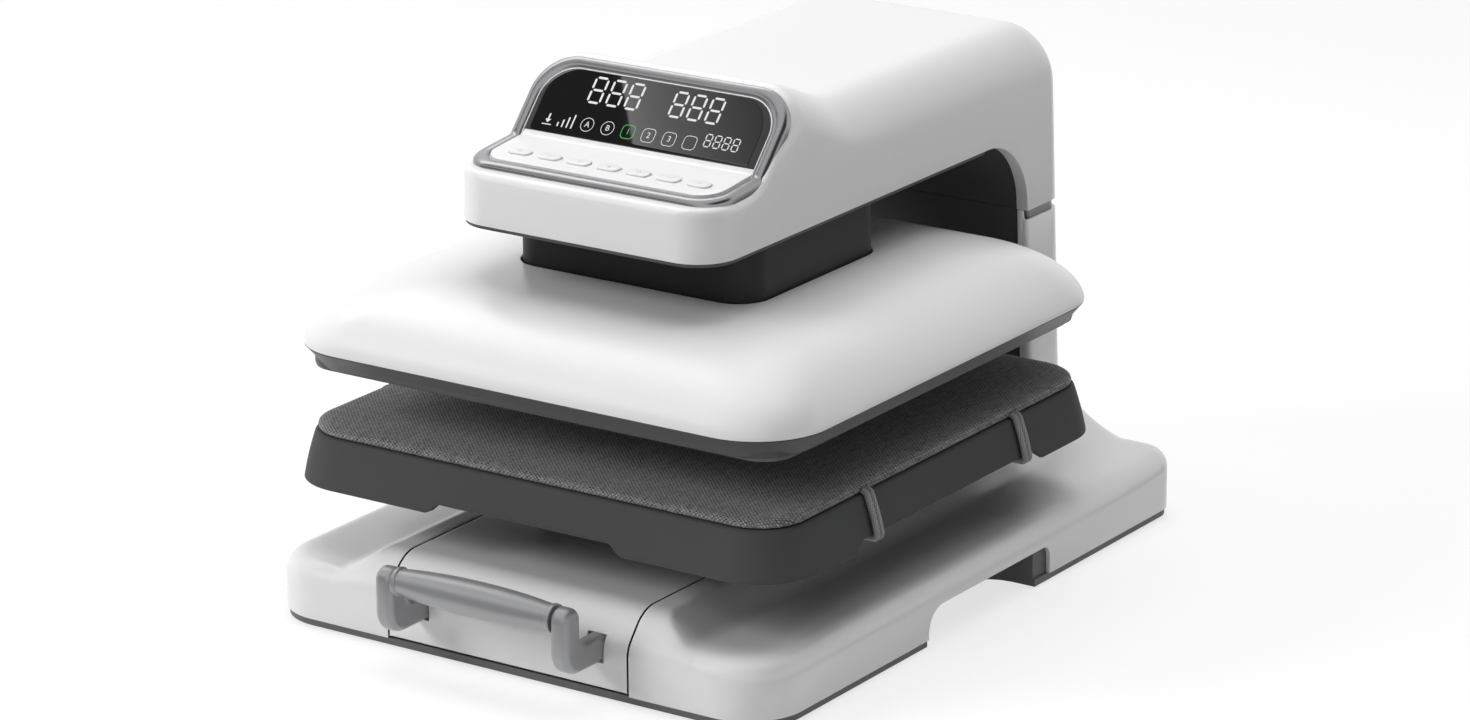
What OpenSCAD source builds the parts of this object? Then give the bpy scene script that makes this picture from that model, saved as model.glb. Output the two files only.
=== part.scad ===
// Automatic heat press with a pull-out lower platen and a motor-driven upper platen.
// Millimetres, +Z up, front towards -Y, standing on the floor at z = 0.
// Inside the modules y = 0 is the press axis, the centre of both platens.

/* [Base] */
// Width of the base shell
base_w = 411; // [360:1:500]
// Press axis to the front face of the base
base_front = 223.5; // [215:0.5:270]
// Press axis to the back face of the base and the column
base_back = 300; // [280:1:340]
// Radius of the front corners of the base in plan
base_r = 41; // [25:1:60]
// Radius of the rear corners of the base in plan
rear_r = 22; // [20:1:60]
// Floor to the lower edge of the white shells
shell_z = 7; // [6:0.5:12]
// Floor to the top of the side flanks
flank_z = 46; // [44:0.5:52]
// Floor to the top of the raised bridge
bridge_z = 62.3; // [58:0.1:70]
// Half width of the flat on top of the bridge
bridge_half = 112; // [106:1:125]
// Rise of the flanks towards the back
rear_rise = 6; // [2:0.5:10]
// Rounding of the upper edge of the flanks
edge_r = 15; // [6:1:16]
// Wall of the moulded shells
skin = 3; // [2:0.1:4]
// Thickness of the floor pan
pan_t = 5; // [2:0.1:5.5]
// Setback of the floor pan behind the shell
pan_inset = 1.5; // [1:0.1:4]
// Radius of a rubber foot
foot_r = 14; // [8:1:18]
// Distance of a foot from the base outline
foot_inset = 34; // [26:1:50]

/* [Hand notches] */
// Press axis to the front end of a hand notch
notch_front = 30; // [10:1:60]
// Press axis to the back end of a hand notch
notch_back = 124; // [100:1:150]
// Height of a hand notch
notch_h = 21; // [15:0.5:24]
// Radius of the front upper corner of a notch
notch_r = 17; // [6:1:20]
// Depth of the hand recess behind a notch
pocket_d = 50; // [44:1:60]
// Distance of the recess's rear wall from the notch's rear end
recess_end = 17; // [5:1:30]
// Inner corner radius of the hand recess
recess_r = 30; // [10:1:40]

/* [Drawer] */
// Width of the drawer strip
drawer_w = 196; // [184:1:200]
// Press axis to the back end of the drawer strip
drawer_back = 165; // [120:1:190]
// Pull-out travel
drawer_travel = 220; // [120:1:240]
// Gap at the split line round the drawer
split_gap = 0.8; // [0.5:0.1:1.5]
// Lift of the drawer's lower edge over the shell's lower edge
drawer_lift = 2.2; // [1:0.1:4]
// Length of a slide rail
rail_len = 350; // [300:1:370]
// Height of a slide rail
rail_h = 35; // [28:1:38]
// Sheet of the rails, the chassis and the rail brackets
sheet = 1.5; // [1:0.1:2]
// Play between nested rails
rail_play = 0.4; // [0.3:0.1:0.8]

/* [Handle] */
// Distance between the bracket centres
handle_span = 146; // [120:1:156]
// Drawer front to the grip axis
handle_reach = 31; // [28:1:40]
// Floor to the grip axis
grip_z = 64; // [58:1:72]
// Radius of the grip at its middle
grip_r = 12.2; // [10:0.1:14]
// Radius of the grip at its ends
grip_end_r = 9; // [7:0.1:10]
// Width of a bracket
bracket_w = 15; // [10:0.5:18]
// Thickness of a bracket's arms
bracket_t = 20; // [16:0.5:22]

/* [Lower platen] */
// Width and depth of the tray at its lower edge
tray_w = 409; // [380:1:420]
// Width and depth of the tray at its rim
tray_rim_w = 391.5; // [370:0.5:409]
// Floor to the lower edge of the tray
tray_z = 93.5; // [88:0.5:98]
// Height of the tray
tray_h = 33.2; // [26:0.1:40]
// Corner radius of the tray rim in plan
tray_r = 36; // [25:1:50]
// Width and depth of the pad
pad_w = 388; // [360:1:389]
// Height of the pad over the tray rim
pad_rise = 8.3; // [5:0.1:14]
// Thickness of the woven pad cover
cover_t = 1.2; // [0.8:0.1:2]
// Half width of the notch in the tray's front edge
tray_notch = 79; // [50:1:110]
// Half length of the notches in the tray's side edges
tray_side_notch = 115; // [80:1:130]
// Depth of the notches in the tray's lower edge
tray_notch_h = 7; // [3:0.5:12]
// Press axis to an elastic strap
strap_y = 92; // [60:1:105]
// Radius of one elastic cord
strap_r = 2.3; // [1.5:0.1:3]
// Half width of the pedestal under the tray
pedestal_half = 84; // [60:1:90]

/* [Upper platen] */
// Width and depth of the upper platen
platen_w = 410; // [390:1:430]
// Corner radius of the upper platen in plan
platen_r = 52; // [40:1:70]
// Floor to the lower face of the heat plate at rest
plate_z = 173; // [165:0.5:190]
// Width and depth of the heat plate
plate_w = 381; // [360:1:389]
// Thickness of the heat plate
plate_t = 12; // [10:0.5:14]
// Heat plate to the parting line of the cover
parting_h = 16.3; // [14:0.1:22]
// Rise of the cover from the parting line to its neck opening
dome_h = 44.7; // [36:0.1:52]
// Play left over the pad at the end of the stroke
press_play = 0.5; // [0.4:0.1:2]

/* [Neck] */
// Width of the neck
neck_w = 194; // [150:1:196]
// Depth of the neck
neck_d = 163; // [140:1:170]
// Corner radius of the neck
neck_r = 22; // [12:1:30]
// Gap between the neck and the cover
neck_gap = 2.5; // [1.5:0.1:5]

/* [Head] */
// Width of the head at its lower edge
head_w = 214; // [200:1:230]
// Press axis to the front face of the head
head_front = 138; // [132:1:150]
// Floor to the lower edge of the white head shell
head_z = 275.5; // [270:0.5:285]
// Floor to the top of the lip in front of the keys
lip_z = 311; // [307:0.5:320]
// Floor to the top of the arm
arm_z = 348; // [344:0.5:362]
// Rise of the hood over the arm
hood_rise = 24; // [12:0.5:26]
// Corner radius of the head in plan
head_r = 30; // [20:1:40]
// Rounding of the arm's upper edges
arm_r = 34; // [20:1:44]
// Narrowing of head and column per millimetre of height
draft = 0.031; // [0:0.001:0.05]

/* [Control panel] */
// Front edge of the key ledge, distance from the press axis
ledge_front = 119; // [112:1:122]
// Slope of the key ledge in degrees
ledge_tilt = 5.5; // [0:0.5:12]
// Step from the lip up to the key ledge
ledge_step = 5; // [2:0.5:8]
// Fold between ledge and display, distance from the press axis
fold_y = 70; // [62:1:80]
// Slope of the display in degrees
display_tilt = 48; // [35:1:55]
// Top edge of the bezel, distance from the press axis
panel_top = 25; // [18:1:34]
// Width of the bezel
bezel_w = 198; // [180:1:200]
// Width of the bezel's band
band_w = 8; // [5:0.5:12]
// Distance between key centres
key_pitch = 24.1; // [20:0.1:26]
// Length of a key
key_l = 17; // [12:0.5:19]
// Depth of a key
key_d = 9.5; // [7:0.5:12]
// Travel of a key
key_travel = 0.8; // [0.4:0.1:1.2]
// Gap round a key
key_gap = 0.35; // [0.2:0.05:0.6]

/* [Column] */
// Press axis to the front face of the column
column_front = 250; // [236:1:258]
// Floor to the seam between column and head
seam_z = 219.5; // [200:0.5:235]
// Height of the seam groove
seam_h = 7; // [4:0.5:10]
// Depth of the seam groove
seam_d = 2.5; // [1.5:0.1:4]
// Width of the white rim beside the dark panel
rim_w = 9; // [6:0.5:14]
// Radius of the arch between arm and column
arch_r = 50; // [30:1:60]
// Floor to the lower end of the column
column_z = 78; // [72:1:90]

/* [Drive] */
// Radius of the lead screw
screw_r = 8; // [6:0.5:10]
// Running clearance of screw, rods and bushes
running = 0.05; // [0.01:0.01:0.1]
// Radius of a guide rod
rod_r = 6; // [5:0.5:8]
// Half distance between guide rods across the press
rod_x = 58; // [50:1:62]
// Half distance between guide rods along the press
rod_y = 50; // [44:1:56]
// Thickness of the side plates of the frame
frame_t = 8; // [5:0.5:10]
// Half distance between the frame plates, outside
frame_half = 80; // [74:1:81]
// Radius of the motor
motor_r = 17; // [12:0.5:18]
// Length of the motor
motor_l = 84; // [60:1:100]

/* [Hidden] */
$fn = 48;
// Points on each rounded corner of a loft
corner_n = 6;
loft_n = 9;
// Colours
white = [0.93, 0.93, 0.93];
charcoal = [0.2, 0.2, 0.21];
graphite = [0.33, 0.33, 0.34];
steel = [0.62, 0.63, 0.65];
silver = [0.55, 0.56, 0.58];
black = [0.08, 0.08, 0.09];
brass = [0.72, 0.58, 0.3];
green = [0.1, 0.35, 0.2];
fabric = [0.36, 0.37, 0.39];
// Overlap of cutting bodies
cut = 1;
// Whole part in its own frame: the box round it is centred on the origin
front_reach = base_front + handle_reach + max(grip_r, bracket_t / 2);
press_y = (front_reach - base_back) / 2;
// Base
base_half = base_w / 2;
pan_z = shell_z - pan_t;
slot_half = drawer_w / 2 + split_gap / 2;
slot_back = drawer_back + split_gap;
bridge_r1 = 8;
bridge_r2 = 22;
bridge_lean = 57;
front_r1 = 18;
front_r2 = 25;
front_lean = 40;
front_straight = 26;
cove_start = base_back - 98;
saddle_run = 75;
notch_r2 = 8;
seat_gap = 0.3;
screw_inset = 70;
// Rails
bracket_x = drawer_w / 2 - 1.4;
rail_z = shell_z + 4 + rail_h / 2;
rail_front = -base_front + 16;
rail_depth = 12;
nest = sheet + rail_play;
chassis_half = bracket_x - rail_depth;
chassis_top = bridge_z - skin;
// Handle
handle_y = -base_front - handle_reach;
boss_z = shell_z + 26.5;
boss_in = skin;
tenon_r = 5;
tenon_l = 8;
// Lower platen
tray_top = tray_z + tray_h;
tray_plate = 4;
pad_top = tray_top + pad_rise;
pad_r = tray_r - 2;
// Upper platen
stroke = plate_z - pad_top - press_play;
plate_top = plate_z + plate_t;
parting_z = plate_z + parting_h;
board_t = 6;
ram_z = plate_top + board_t;
pressure_t = 8;
ram_foot = ram_z + pressure_t;
element_r = 3.6;
element_pitch = 80;
element_run = 140;
// Head and column
arch_y = column_front - arch_r;
arch_z = head_z - arch_r;
belly_t = 2.5;
lip_r = 6;
column_r = 18;
hood_y = -40;
hood_run = 85;
border_drop = 1.8;
// Frame and drive
guide_z = ram_foot + 39;
guide_t = 8;
arm_low = head_z + 7.5;
arm_high = arm_low + 26;
ram_r = 16;
ram_top = guide_z + 24;
screw_low = ram_foot + 4;
gearbox_z = arm_low + guide_t;
gearbox_h = 45;
// Electrics
inlet_w = 28;
inlet_h = 21;
inlet_z = 112;
inlet_x = 26;
switch_x = -26;
switch_w = 15;
rocker_tilt = 9;

// Arc of n steps round a centre, as points
function arc(cx, cy, r, a0, a1, n) =
    [for (i = [0:n]) let (a = a0 + (a1 - a0) * i / n) [cx + r * cos(a), cy + r * sin(a)]];

// Concave sweep from a low point, level there, up to a high point
function cove(lo, hi, n) =
    let (run = abs(hi[0] - lo[0]), rise = hi[1] - lo[1], r = (run * run + rise * rise) / (2 * rise))
    let (way = sign(hi[0] - lo[0]), turn = asin(run / r))
    [for (i = [0:n]) let (a = turn * i / n) [lo[0] + way * r * sin(a), lo[1] + r - r * cos(a)]];

function smooth_max(a, b, s) = (a + b + sqrt((a - b) * (a - b) + s * s)) / 2;
function smooth_min(a, b, s) = (a + b - sqrt((a - b) * (a - b) + s * s)) / 2;
function mirror_x(pts) = [for (i = [len(pts) - 1:-1:0]) [-pts[i][0], pts[i][1]]];
function half_width(z) = head_w / 2 + (head_z - z) * draft;
// Half width of the dark panel between the white rims
function panel_half(z) = half_width(z) - rim_w - 0.4;

// Level rounded rectangle as a ring of points, with front and back corner radii
function ring(hx, y0, y1, r0, r1, z) =
    [for (p = concat(arc(hx - r1, y1 - r1, r1, 0, 90, corner_n),
        arc(r1 - hx, y1 - r1, r1, 90, 180, corner_n),
        arc(r0 - hx, y0 + r0, r0, 180, 270, corner_n), arc(hx - r0, y0 + r0, r0, 270, 360, corner_n)))
        [p[0], p[1], z]];
function square_ring(h, r, z) = ring(h, -h, h, r, r, z);

module at_press() {
    translate([0, press_y, 0]) children();
}

// Solid through a list of rings, capped at both ends or closed on itself
module ring_loft(rings, closed = false) {
    m = len(rings[0]);
    k = len(rings);
    sides = [for (i = [0:k - (closed ? 1 : 2)]) for (j = [0:m - 1])
        let (a = i * m + j, b = ((i + 1) % k) * m + j, c = ((i + 1) % k) * m + (j + 1) % m,
            d = i * m + (j + 1) % m)
        each [[a, b, c], [a, c, d]]];
    caps = closed ? [] : [[for (j = [0:m - 1]) j], [for (j = [m - 1:-1:0]) (k - 1) * m + j]];
    polyhedron(points = [for (r = rings) each r], faces = concat(sides, caps), convexity = 6);
}

// Rounded rectangle in plan, with front and back corner radii
module plan(hx, y0, y1, r0, r1) {
    union() {
        translate([-hx, y0 + r0]) square([2 * hx, y1 - r1 - y0 - r0]);
        translate([-hx + r0, y0]) square([2 * (hx - r0), r0 + cut / 10]);
        translate([-hx + r1, y1 - r1 - cut / 10]) square([2 * (hx - r1), r1 + cut / 10]);
        for (s = [-1, 1]) {
            translate([s * (hx - r0), y0 + r0]) circle(r0);
            translate([s * (hx - r1), y1 - r1]) circle(r1);
        }
    }
}

module slab(hx, y0, y1, r, z0, z1) {
    translate([0, 0, z0]) linear_extrude(z1 - z0) plan(hx, y0, y1, r, r);
}

// Profile in the (y, z) plane, extruded across x from x0 to x1
module across(x0, x1) {
    translate([x0, 0, 0]) rotate([90, 0, 90]) linear_extrude(x1 - x0) children();
}

// Profile in the (x, z) plane, extruded along y from y0 to y1
module along(y0, y1) {
    translate([0, y1, 0]) rotate([90, 0, 0]) linear_extrude(y1 - y0) children();
}

module both_sides() {
    children();
    mirror([1, 0, 0]) children();
}

// Solid shell between an outer and an inner row of open sections that run along y
module section_shell(outer, inner) {
    n = len(outer);
    m = len(outer[0]);
    o = n * m;
    e = (n - 1) * m;
    c = 2 * o;
    skins = [for (i = [0:n - 2]) for (j = [0:m - 2]) let (a = i * m + j, b = a + m)
        each [[a, b + 1, a + 1], [a, b, b + 1], [o + a, o + a + 1, o + b + 1],
            [o + a, o + b + 1, o + b]]];
    rims = [for (i = [0:n - 2]) let (a = i * m, b = a + m, k = a + m - 1, d = k + m)
        each [[a, o + b, b], [a, o + a, o + b], [k, d, o + d], [k, o + d, o + k]]];
    ends = [for (j = [0:m - 2]) each [[c, j, j + 1], [c + 1, o + j + 1, o + j],
        [c + 2, e + j + 1, e + j], [c + 3, o + e + j, o + e + j + 1]]];
    lips = [[0, c + 1, o], [0, c, c + 1], [c, o + m - 1, c + 1], [c, m - 1, o + m - 1], [e, c + 3, c + 2],
        [e, o + e, c + 3],
        [c + 2, o + e + m - 1, e + m - 1], [c + 2, c + 3, o + e + m - 1]];
    middles = [for (s = [outer[0], inner[0], outer[n - 1], inner[n - 1]]) (s[0] + s[m - 1]) / 2];
    polyhedron(points = concat([for (s = outer) each s], [for (s = inner) each s], middles),
        faces = concat(skins, rims, ends, lips), convexity = 8);
}

// Base
// Fall of a rounded end: how far it has dropped at y when it ends at end with radius r
function fall(y, r, end) = y <= end - r ? 0 : r - sqrt(max(0, r * r - (y - end + r) * (y - end + r)));

// Upper outline of the bridge from the middle to its foot, as points in (x, z)
bridge_drop = bridge_z - flank_z - (bridge_r1 + bridge_r2) * (1 - sin(bridge_lean));
bridge_foot = bridge_half + (bridge_r1 + bridge_r2) * cos(bridge_lean) + bridge_drop * tan(bridge_lean);
bridge_curve = concat(arc(bridge_half, bridge_z - bridge_r1, bridge_r1, 90, bridge_lean, 3),
    arc(bridge_foot, flank_z + bridge_r2, bridge_r2, 180 + bridge_lean, 270, 4));

// Leaning front of bridge and drawer, from the floor to the top, set back by d
function front_curve(d) =
    let (turn = front_lean, low = shell_z + front_straight,
        y1 = -base_front + d + front_r1 * (1 - cos(turn)))
    let (z1 = low + front_r1 * sin(turn), z2 = bridge_z - d - front_r2 * (1 - cos(90 - turn)))
    let (y2 = y1 + (z2 - z1) * tan(turn))
    concat(arc(-base_front + d + front_r1, low, front_r1, 180, 180 - turn, 4),
        arc(y2 + front_r2 * cos(turn), bridge_z - d - front_r2, front_r2, 180 - turn, 90, 5));

module front_side(d, back, low) {
    polygon(concat([[-base_front + d, low]], front_curve(d), [[back, bridge_z - d], [back, low]]));
}

// Distance of a plan point from the outline of the base
function base_inset(x, y) =
    let (r = y > 0 ? rear_r : base_r)
    let (qx = abs(x) - base_half + r, qy = max(-y - base_front, y - base_back) + r)
    r - (qx > 0 && qy > 0 ? norm([qx, qy]) : max(qx, qy));

function flank_top(x, y) =
    let (back = max(0, y - cove_start) / (base_back - cove_start))
    flank_z + rear_rise * back * back - fall(edge_r - base_inset(x, y), edge_r, edge_r);

// Saddle that sweeps up from flanks and bridge to the foot of the column
saddle_side = half_width(column_z) + 1;
saddle_curve = cove([saddle_side + saddle_run, flank_z], [saddle_side, column_z], 8);

function base_top(x, y) =
    let (bridge = lookup(abs(x), concat(bridge_curve, [[bridge_foot + 4, shell_z]])))
    let (low = max(flank_top(x, y), min(bridge, lookup(y, front_curve(0)))))
    let (rise = min(max(0, y - cove_start) / (column_front - 2 - cove_start), 1))
    let (saddle = lookup(abs(x), concat(saddle_curve, [[saddle_side + saddle_run + 4, shell_z]])))
    low + max(0, saddle - low) * rise * rise;

// Half width of the base outline drawn in by e
function base_reach(e, y) =
    base_half - e - fall(-y, base_r - e, base_front - e) - fall(y, rear_r - e, base_back - e);

base_stations = concat([for (p = front_curve(0)) p[0]], [-base_front + base_r],
    [for (i = [0:5]) cove_start + (column_front - 2 - cove_start) * i / 5],
        [for (a = [0:15:90]) base_back - rear_r + rear_r * sin(a)]);

// Section of the base from its lower left edge over the top to its lower right edge
function base_section(y, d, at) =
    let (edge = [for (a = [0:22.5:90]) let (e = edge_r * (1 - cos(a))) base_reach(e, y) - 0.2 * e],
        last = edge[len(edge) - 1])
    let (top = bridge_curve[len(bridge_curve) - 1][0])
    let (slope = [for (i = [len(bridge_curve) - 1:-1:0]) bridge_curve[i][0]])
    let (xs = concat(edge, [for (i = [1:4]) last + (top + 4 - last) * i / 4], slope, [bridge_half - 6]))
    let (right = concat([[xs[0] - d, shell_z]],
        [for (x = xs) [x * (1 - d / base_half), base_top(x, y) - d]]))
    let (down = [for (i = [len(right) - 1:-1:0]) right[i]])
    [for (p = concat(mirror_x(down), down)) [p[0], at, p[1]]];

module notch_outline() {
    top = shell_z + notch_h;
    polygon(concat([[-notch_front, shell_z - cut]],
        arc(notch_r - notch_front, top - notch_r, notch_r, 180, 90, 5),
        arc(notch_back - notch_r2, top - notch_r2, notch_r2, 90, 0, 4), [[notch_back, shell_z - cut]]));
}

module base_shell() {
    span = base_back + base_front;
    inner = (span - 2 * skin) / span;
    wall_y = -base_front + 34;
    color(white) at_press() difference() {
        union() {
            section_shell([for (y = base_stations) base_section(y, 0, y)],
                [for (y = base_stations) base_section(y, skin,
                    skin - base_front + (y + base_front) * inner)]);
            translate([0, 0, flank_z - 1]) linear_extrude(bridge_z - flank_z) difference() {
                translate([-slot_half - skin, wall_y]) square([2 * (slot_half + skin),
                    slot_back + skin - wall_y]);
                translate([cut - slot_half, wall_y - cut])
                    square([2 * (slot_half - cut), slot_back - wall_y]);
            }
        }
        translate([-slot_half, -base_front - cut, 0])
            cube([2 * slot_half, base_front + slot_back + cut, bridge_z + cut]);
        translate([-frame_half - 4, column_front + 6, 0])
            cube([2 * (frame_half + 4), base_back - 2 * skin - column_front - 6, column_z + cut]);
        both_sides() across(base_half - 14, base_half + cut) notch_outline();
    }
}

// Plan of the hand recess, grown by its wall, open towards the side of the base
module recess_outline(grow, reach) {
    x0 = base_half - pocket_d + recess_r;
    y1 = notch_back - recess_end;
    polygon(concat([[reach, y1 + grow]], arc(x0, y1 - recess_r, recess_r + grow, 90, 180, 6),
        arc(x0, recess_r - notch_front, recess_r + grow, 180, 270, 6), [[reach, -notch_front - grow]]));
}

// Lining of the hand recess, and the strip that closes the rear end of the notch
module recess_lining() {
    reach = base_half - skin - seat_gap;
    y1 = notch_back - recess_end;
    translate([0, 0, shell_z - cut / 2]) {
        linear_extrude(notch_h + sheet + cut / 2) recess_outline(sheet, reach);
        translate([reach - sheet, y1, 0]) cube([sheet, recess_end + 2 * sheet,
            notch_h + sheet + cut / 2]);
    }
}

module base_pan() {
    color(charcoal) at_press() difference() {
        union() {
            translate([0, 0, pan_z]) linear_extrude(shell_z - pan_z)
                plan(base_half - pan_inset, pan_inset - base_front, base_back - pan_inset,
                    base_r - pan_inset, rear_r - pan_inset);
            both_sides() {
                translate([bracket_x, rail_front, shell_z]) cube([sheet, rail_len, rail_h + 4]);
                recess_lining();
            }
        }
        both_sides() translate([0, 0, pan_z - cut]) linear_extrude(shell_z + notch_h - pan_z + cut)
            recess_outline(0, base_half + cut);
    }
}

module foot_places() {
    for (x = [-1, 1]) {
        translate([x * (base_half - foot_inset), -base_front + foot_inset, 0]) children();
        translate([x * (base_half - foot_inset), base_back - foot_inset, 0]) children();
    }
}

module rubber_feet() {
    color(black) at_press() foot_places() cylinder(h = pan_z, r1 = foot_r - 1.5, r2 = foot_r);
}

module pan_screws() {
    color(steel) at_press() for (y = [-base_front + screw_inset, 40, base_back - screw_inset]) {
        both_sides() translate([base_half - screw_inset, y, pan_z - 1.2]) cylinder(h = 1.2, r = 3.5);
    }
}

// Slide rails: nested channels, drawn for the right side with u measured in from the bracket
module rail(u0, u1, web, half) {
    x1 = bracket_x - u0;
    x0 = bracket_x - u1;
    translate([0, rail_front, 0]) difference() {
        translate([x0, 0, rail_z - half]) cube([x1 - x0, rail_len, 2 * half]);
        translate([web > 0 ? x0 - cut : x0 + sheet, -cut, rail_z - half + sheet])
            cube([x1 - x0 - sheet + cut, rail_len + 2 * cut, 2 * (half - sheet)]);
    }
}

module rail_outer_right() {
    color(steel) at_press() rail(0, rail_depth - 1, 1, rail_h / 2);
}

module rail_outer_left() {
    mirror([1, 0, 0]) rail_outer_right();
}

module rail_middle_right() {
    color(steel) at_press() rail(nest, rail_depth - 1, 1, rail_h / 2 - nest);
}

module rail_middle_left() {
    mirror([1, 0, 0]) rail_middle_right();
}

module rail_inner_right() {
    color(steel) at_press() rail(2 * nest, rail_depth, -1, rail_h / 2 - 2 * nest);
}

module rail_inner_left() {
    mirror([1, 0, 0]) rail_inner_right();
}

// Drawer
module boss_outline(d) {
    translate([-base_front - cut, boss_z - bracket_t / 2 - d])
        square([skin + 2 * cut, bracket_t + 2 * d]);
}

module drawer_cover() {
    low = shell_z + drawer_lift;
    fold = 11;
    front_depth = 14.5;
    color(white) at_press() difference() {
        across(-drawer_w / 2, drawer_w / 2) front_side(0, drawer_back, low);
        across(skin - drawer_w / 2, drawer_w / 2 - skin) front_side(skin, drawer_back - skin, low - cut);
        translate([-drawer_w / 2 - cut, -base_front + front_depth, low - cut])
            cube([drawer_w + 2 * cut, drawer_back + base_front, bridge_z - fold - low + cut]);
        both_sides() across((handle_span - bracket_w) / 2 - split_gap / 2,
            (handle_span + bracket_w + split_gap) / 2) boss_outline(split_gap / 2);
    }
}

module drawer_chassis() {
    front = -base_front + skin;
    back = drawer_back - skin - 1;
    slope_y = front_curve(skin)[8][0];
    color(steel) at_press() union() {
        both_sides() across(chassis_half - sheet, chassis_half)
            polygon([[front, 13], [front, shell_z + front_straight], [slope_y, chassis_top - 8],
                [slope_y + 14, chassis_top], [back, chassis_top], [back, 13]]);
        translate([-chassis_half, slope_y + 14, chassis_top - sheet])
            cube([2 * chassis_half, back - slope_y - 14, sheet]);
        translate([-chassis_half, front, 13]) cube([2 * chassis_half, sheet,
            shell_z + front_straight - 13]);
    }
}

// Handle
module bracket_outline() {
    r = bracket_t / 2;
    union() {
        translate([handle_y, grip_z]) circle(r);
        translate([handle_y - r, boss_z]) square([bracket_t, grip_z - boss_z]);
        translate([handle_y, boss_z]) circle(r);
        translate([handle_y, boss_z - r]) square([handle_reach + boss_in, bracket_t]);
    }
}

module handle_bracket_right() {
    inner = (handle_span - bracket_w) / 2;
    color(silver) at_press() difference() {
        across(inner, inner + bracket_w) bracket_outline();
        translate([inner - cut, handle_y, grip_z]) rotate([0, 90, 0])
            cylinder(h = tenon_l + cut, r = tenon_r + running);
    }
}

module handle_bracket_left() {
    mirror([1, 0, 0]) handle_bracket_right();
}

module handle_grip() {
    half = (handle_span - bracket_w) / 2;
    bulge = grip_r - grip_end_r;
    barrel = [for (i = [0:10]) let (t = i / 5 - 1) [grip_end_r + bulge * (1 - t * t), t * half]];
    color(silver) at_press() translate([0, handle_y, grip_z]) rotate([0, 90, 0]) rotate_extrude()
        polygon(concat([[0, -half - tenon_l], [tenon_r, -half - tenon_l], [tenon_r, -half]], barrel,
            [[tenon_r, half], [tenon_r, half + tenon_l], [0, half + tenon_l]]));
}

// Lower platen
module tray_pedestal() {
    color(graphite) at_press() difference() {
        slab(pedestal_half, -pedestal_half, pedestal_half, 18, bridge_z, tray_top - tray_plate);
        slab(pedestal_half - 6, 6 - pedestal_half, pedestal_half - 6, 12, bridge_z + 6,
            tray_top - tray_plate - 8);
    }
}

function tray_ring(t, d, z) =
    let (h = tray_w / 2 + (tray_rim_w - tray_w) / 2 * t + 2 * t * (1 - t) - d)
    square_ring(h, tray_r + (tray_w - tray_rim_w) / 2 * (1 - t) - d, z);

module platen_tray() {
    slope = 1.3;
    inner_t = 1 - tray_plate / tray_h;
    color(graphite) at_press() difference() {
        ring_loft(concat([for (t = [0, 0.25, 0.5, 0.75, 0.95]) tray_ring(t, 0, tray_z + tray_h * t)],
            [tray_ring(1, 1.5, tray_top)]));
        ring_loft([for (t = [-0.1, 0.3, 0.6, inner_t]) tray_ring(t, skin, tray_z + tray_h * t)]);
        along(-tray_w, tray_w) polygon([[-tray_notch, tray_z - cut],
            [-tray_notch + slope * tray_notch_h, tray_z + tray_notch_h],
            [tray_notch - slope * tray_notch_h, tray_z + tray_notch_h], [tray_notch, tray_z - cut]]);
        across(-tray_w, tray_w) polygon([[-tray_side_notch, tray_z - cut],
            [-tray_side_notch + slope * tray_notch_h, tray_z + tray_notch_h],
            [tray_side_notch - slope * tray_notch_h, tray_z + tray_notch_h],
                [tray_side_notch, tray_z - cut]]);
    }
}

// Crowned pad: drawn in at its lower edge, round at its shoulder, level over the middle
function pad_ring(d, inset, z) = square_ring(pad_w / 2 - d - inset, max(pad_r - d - inset, 3), z);

module pad_form(d, low) {
    h = pad_rise;
    ring_loft([pad_ring(d, 2.4, tray_top + low), pad_ring(d, 0.6, tray_top + 0.18 * h),
        pad_ring(d, 0, tray_top + 0.36 * h),
        pad_ring(d, 0.8, tray_top + 0.62 * h - d / 2), pad_ring(d, 3, tray_top + 0.83 * h - d),
            pad_ring(d, 8, tray_top + 0.93 * h - d),
        pad_ring(d, 40, tray_top + 0.98 * h - d), pad_ring(d, 120, tray_top + h - d)]);
}

module silicone_pad() {
    color(graphite) at_press() pad_form(cover_t, 0);
}

module pad_cover() {
    color(fabric) at_press() difference() {
        pad_form(0, 0.3);
        pad_form(cover_t - 0.05, -0.2);
    }
}

// Elastic cord as a tube swept along points in the (x, z) plane at one y
module cord_tube(pts, y, r) {
    k = len(pts);
    sides = 8;
    function way(i) = let (a = pts[max(i - 1, 0)], b = pts[min(i + 1, k - 1)], v = b - a) v / norm(v);
    rings = [for (i = [0:k - 1]) let (w = way(i)) [for (j = [0:sides - 1]) let (a = 360 * j / sides)
        [pts[i][0] - w[1] * r * cos(a), y + r * sin(a), pts[i][1] + w[0] * r * cos(a)]]];
    ring_loft(rings);
}

module pad_straps_right() {
    off = strap_r + 0.35;
    hook = strap_r + 0.7;
    lean = atan((tray_w - tray_rim_w) / 2 / tray_h);
    bend = 4;
    top = [tray_rim_w / 2 + 0.4, tray_top - 2.2];
    notch_top = tray_z + tray_notch_h;
    low = [tray_w / 2 - (notch_top - tray_z) * tan(lean) + 1, notch_top + hook - off];
    route = concat([[pad_w / 2 + 0.6, tray_top + off + 0.4]],
        arc(top[0] - bend + off * cos(lean), top[1] + off * sin(lean), bend, 80, lean, 3),
        [[(top[0] + low[0]) / 2 + off * cos(lean) + 0.7, (top[1] + low[1]) / 2 + off * sin(lean)]],
        arc(low[0] - 3 + off * cos(lean), low[1], hook, lean, -90, 4),
        [[low[0] - 10, low[1] - hook]]);
    color(graphite) at_press() for (y = [-strap_y, strap_y]) for (s = [-1, 1]) {
        cord_tube(route, y + s * (strap_r + 0.15), strap_r);
    }
}

module pad_straps_left() {
    mirror([1, 0, 0]) pad_straps_right();
}

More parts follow.
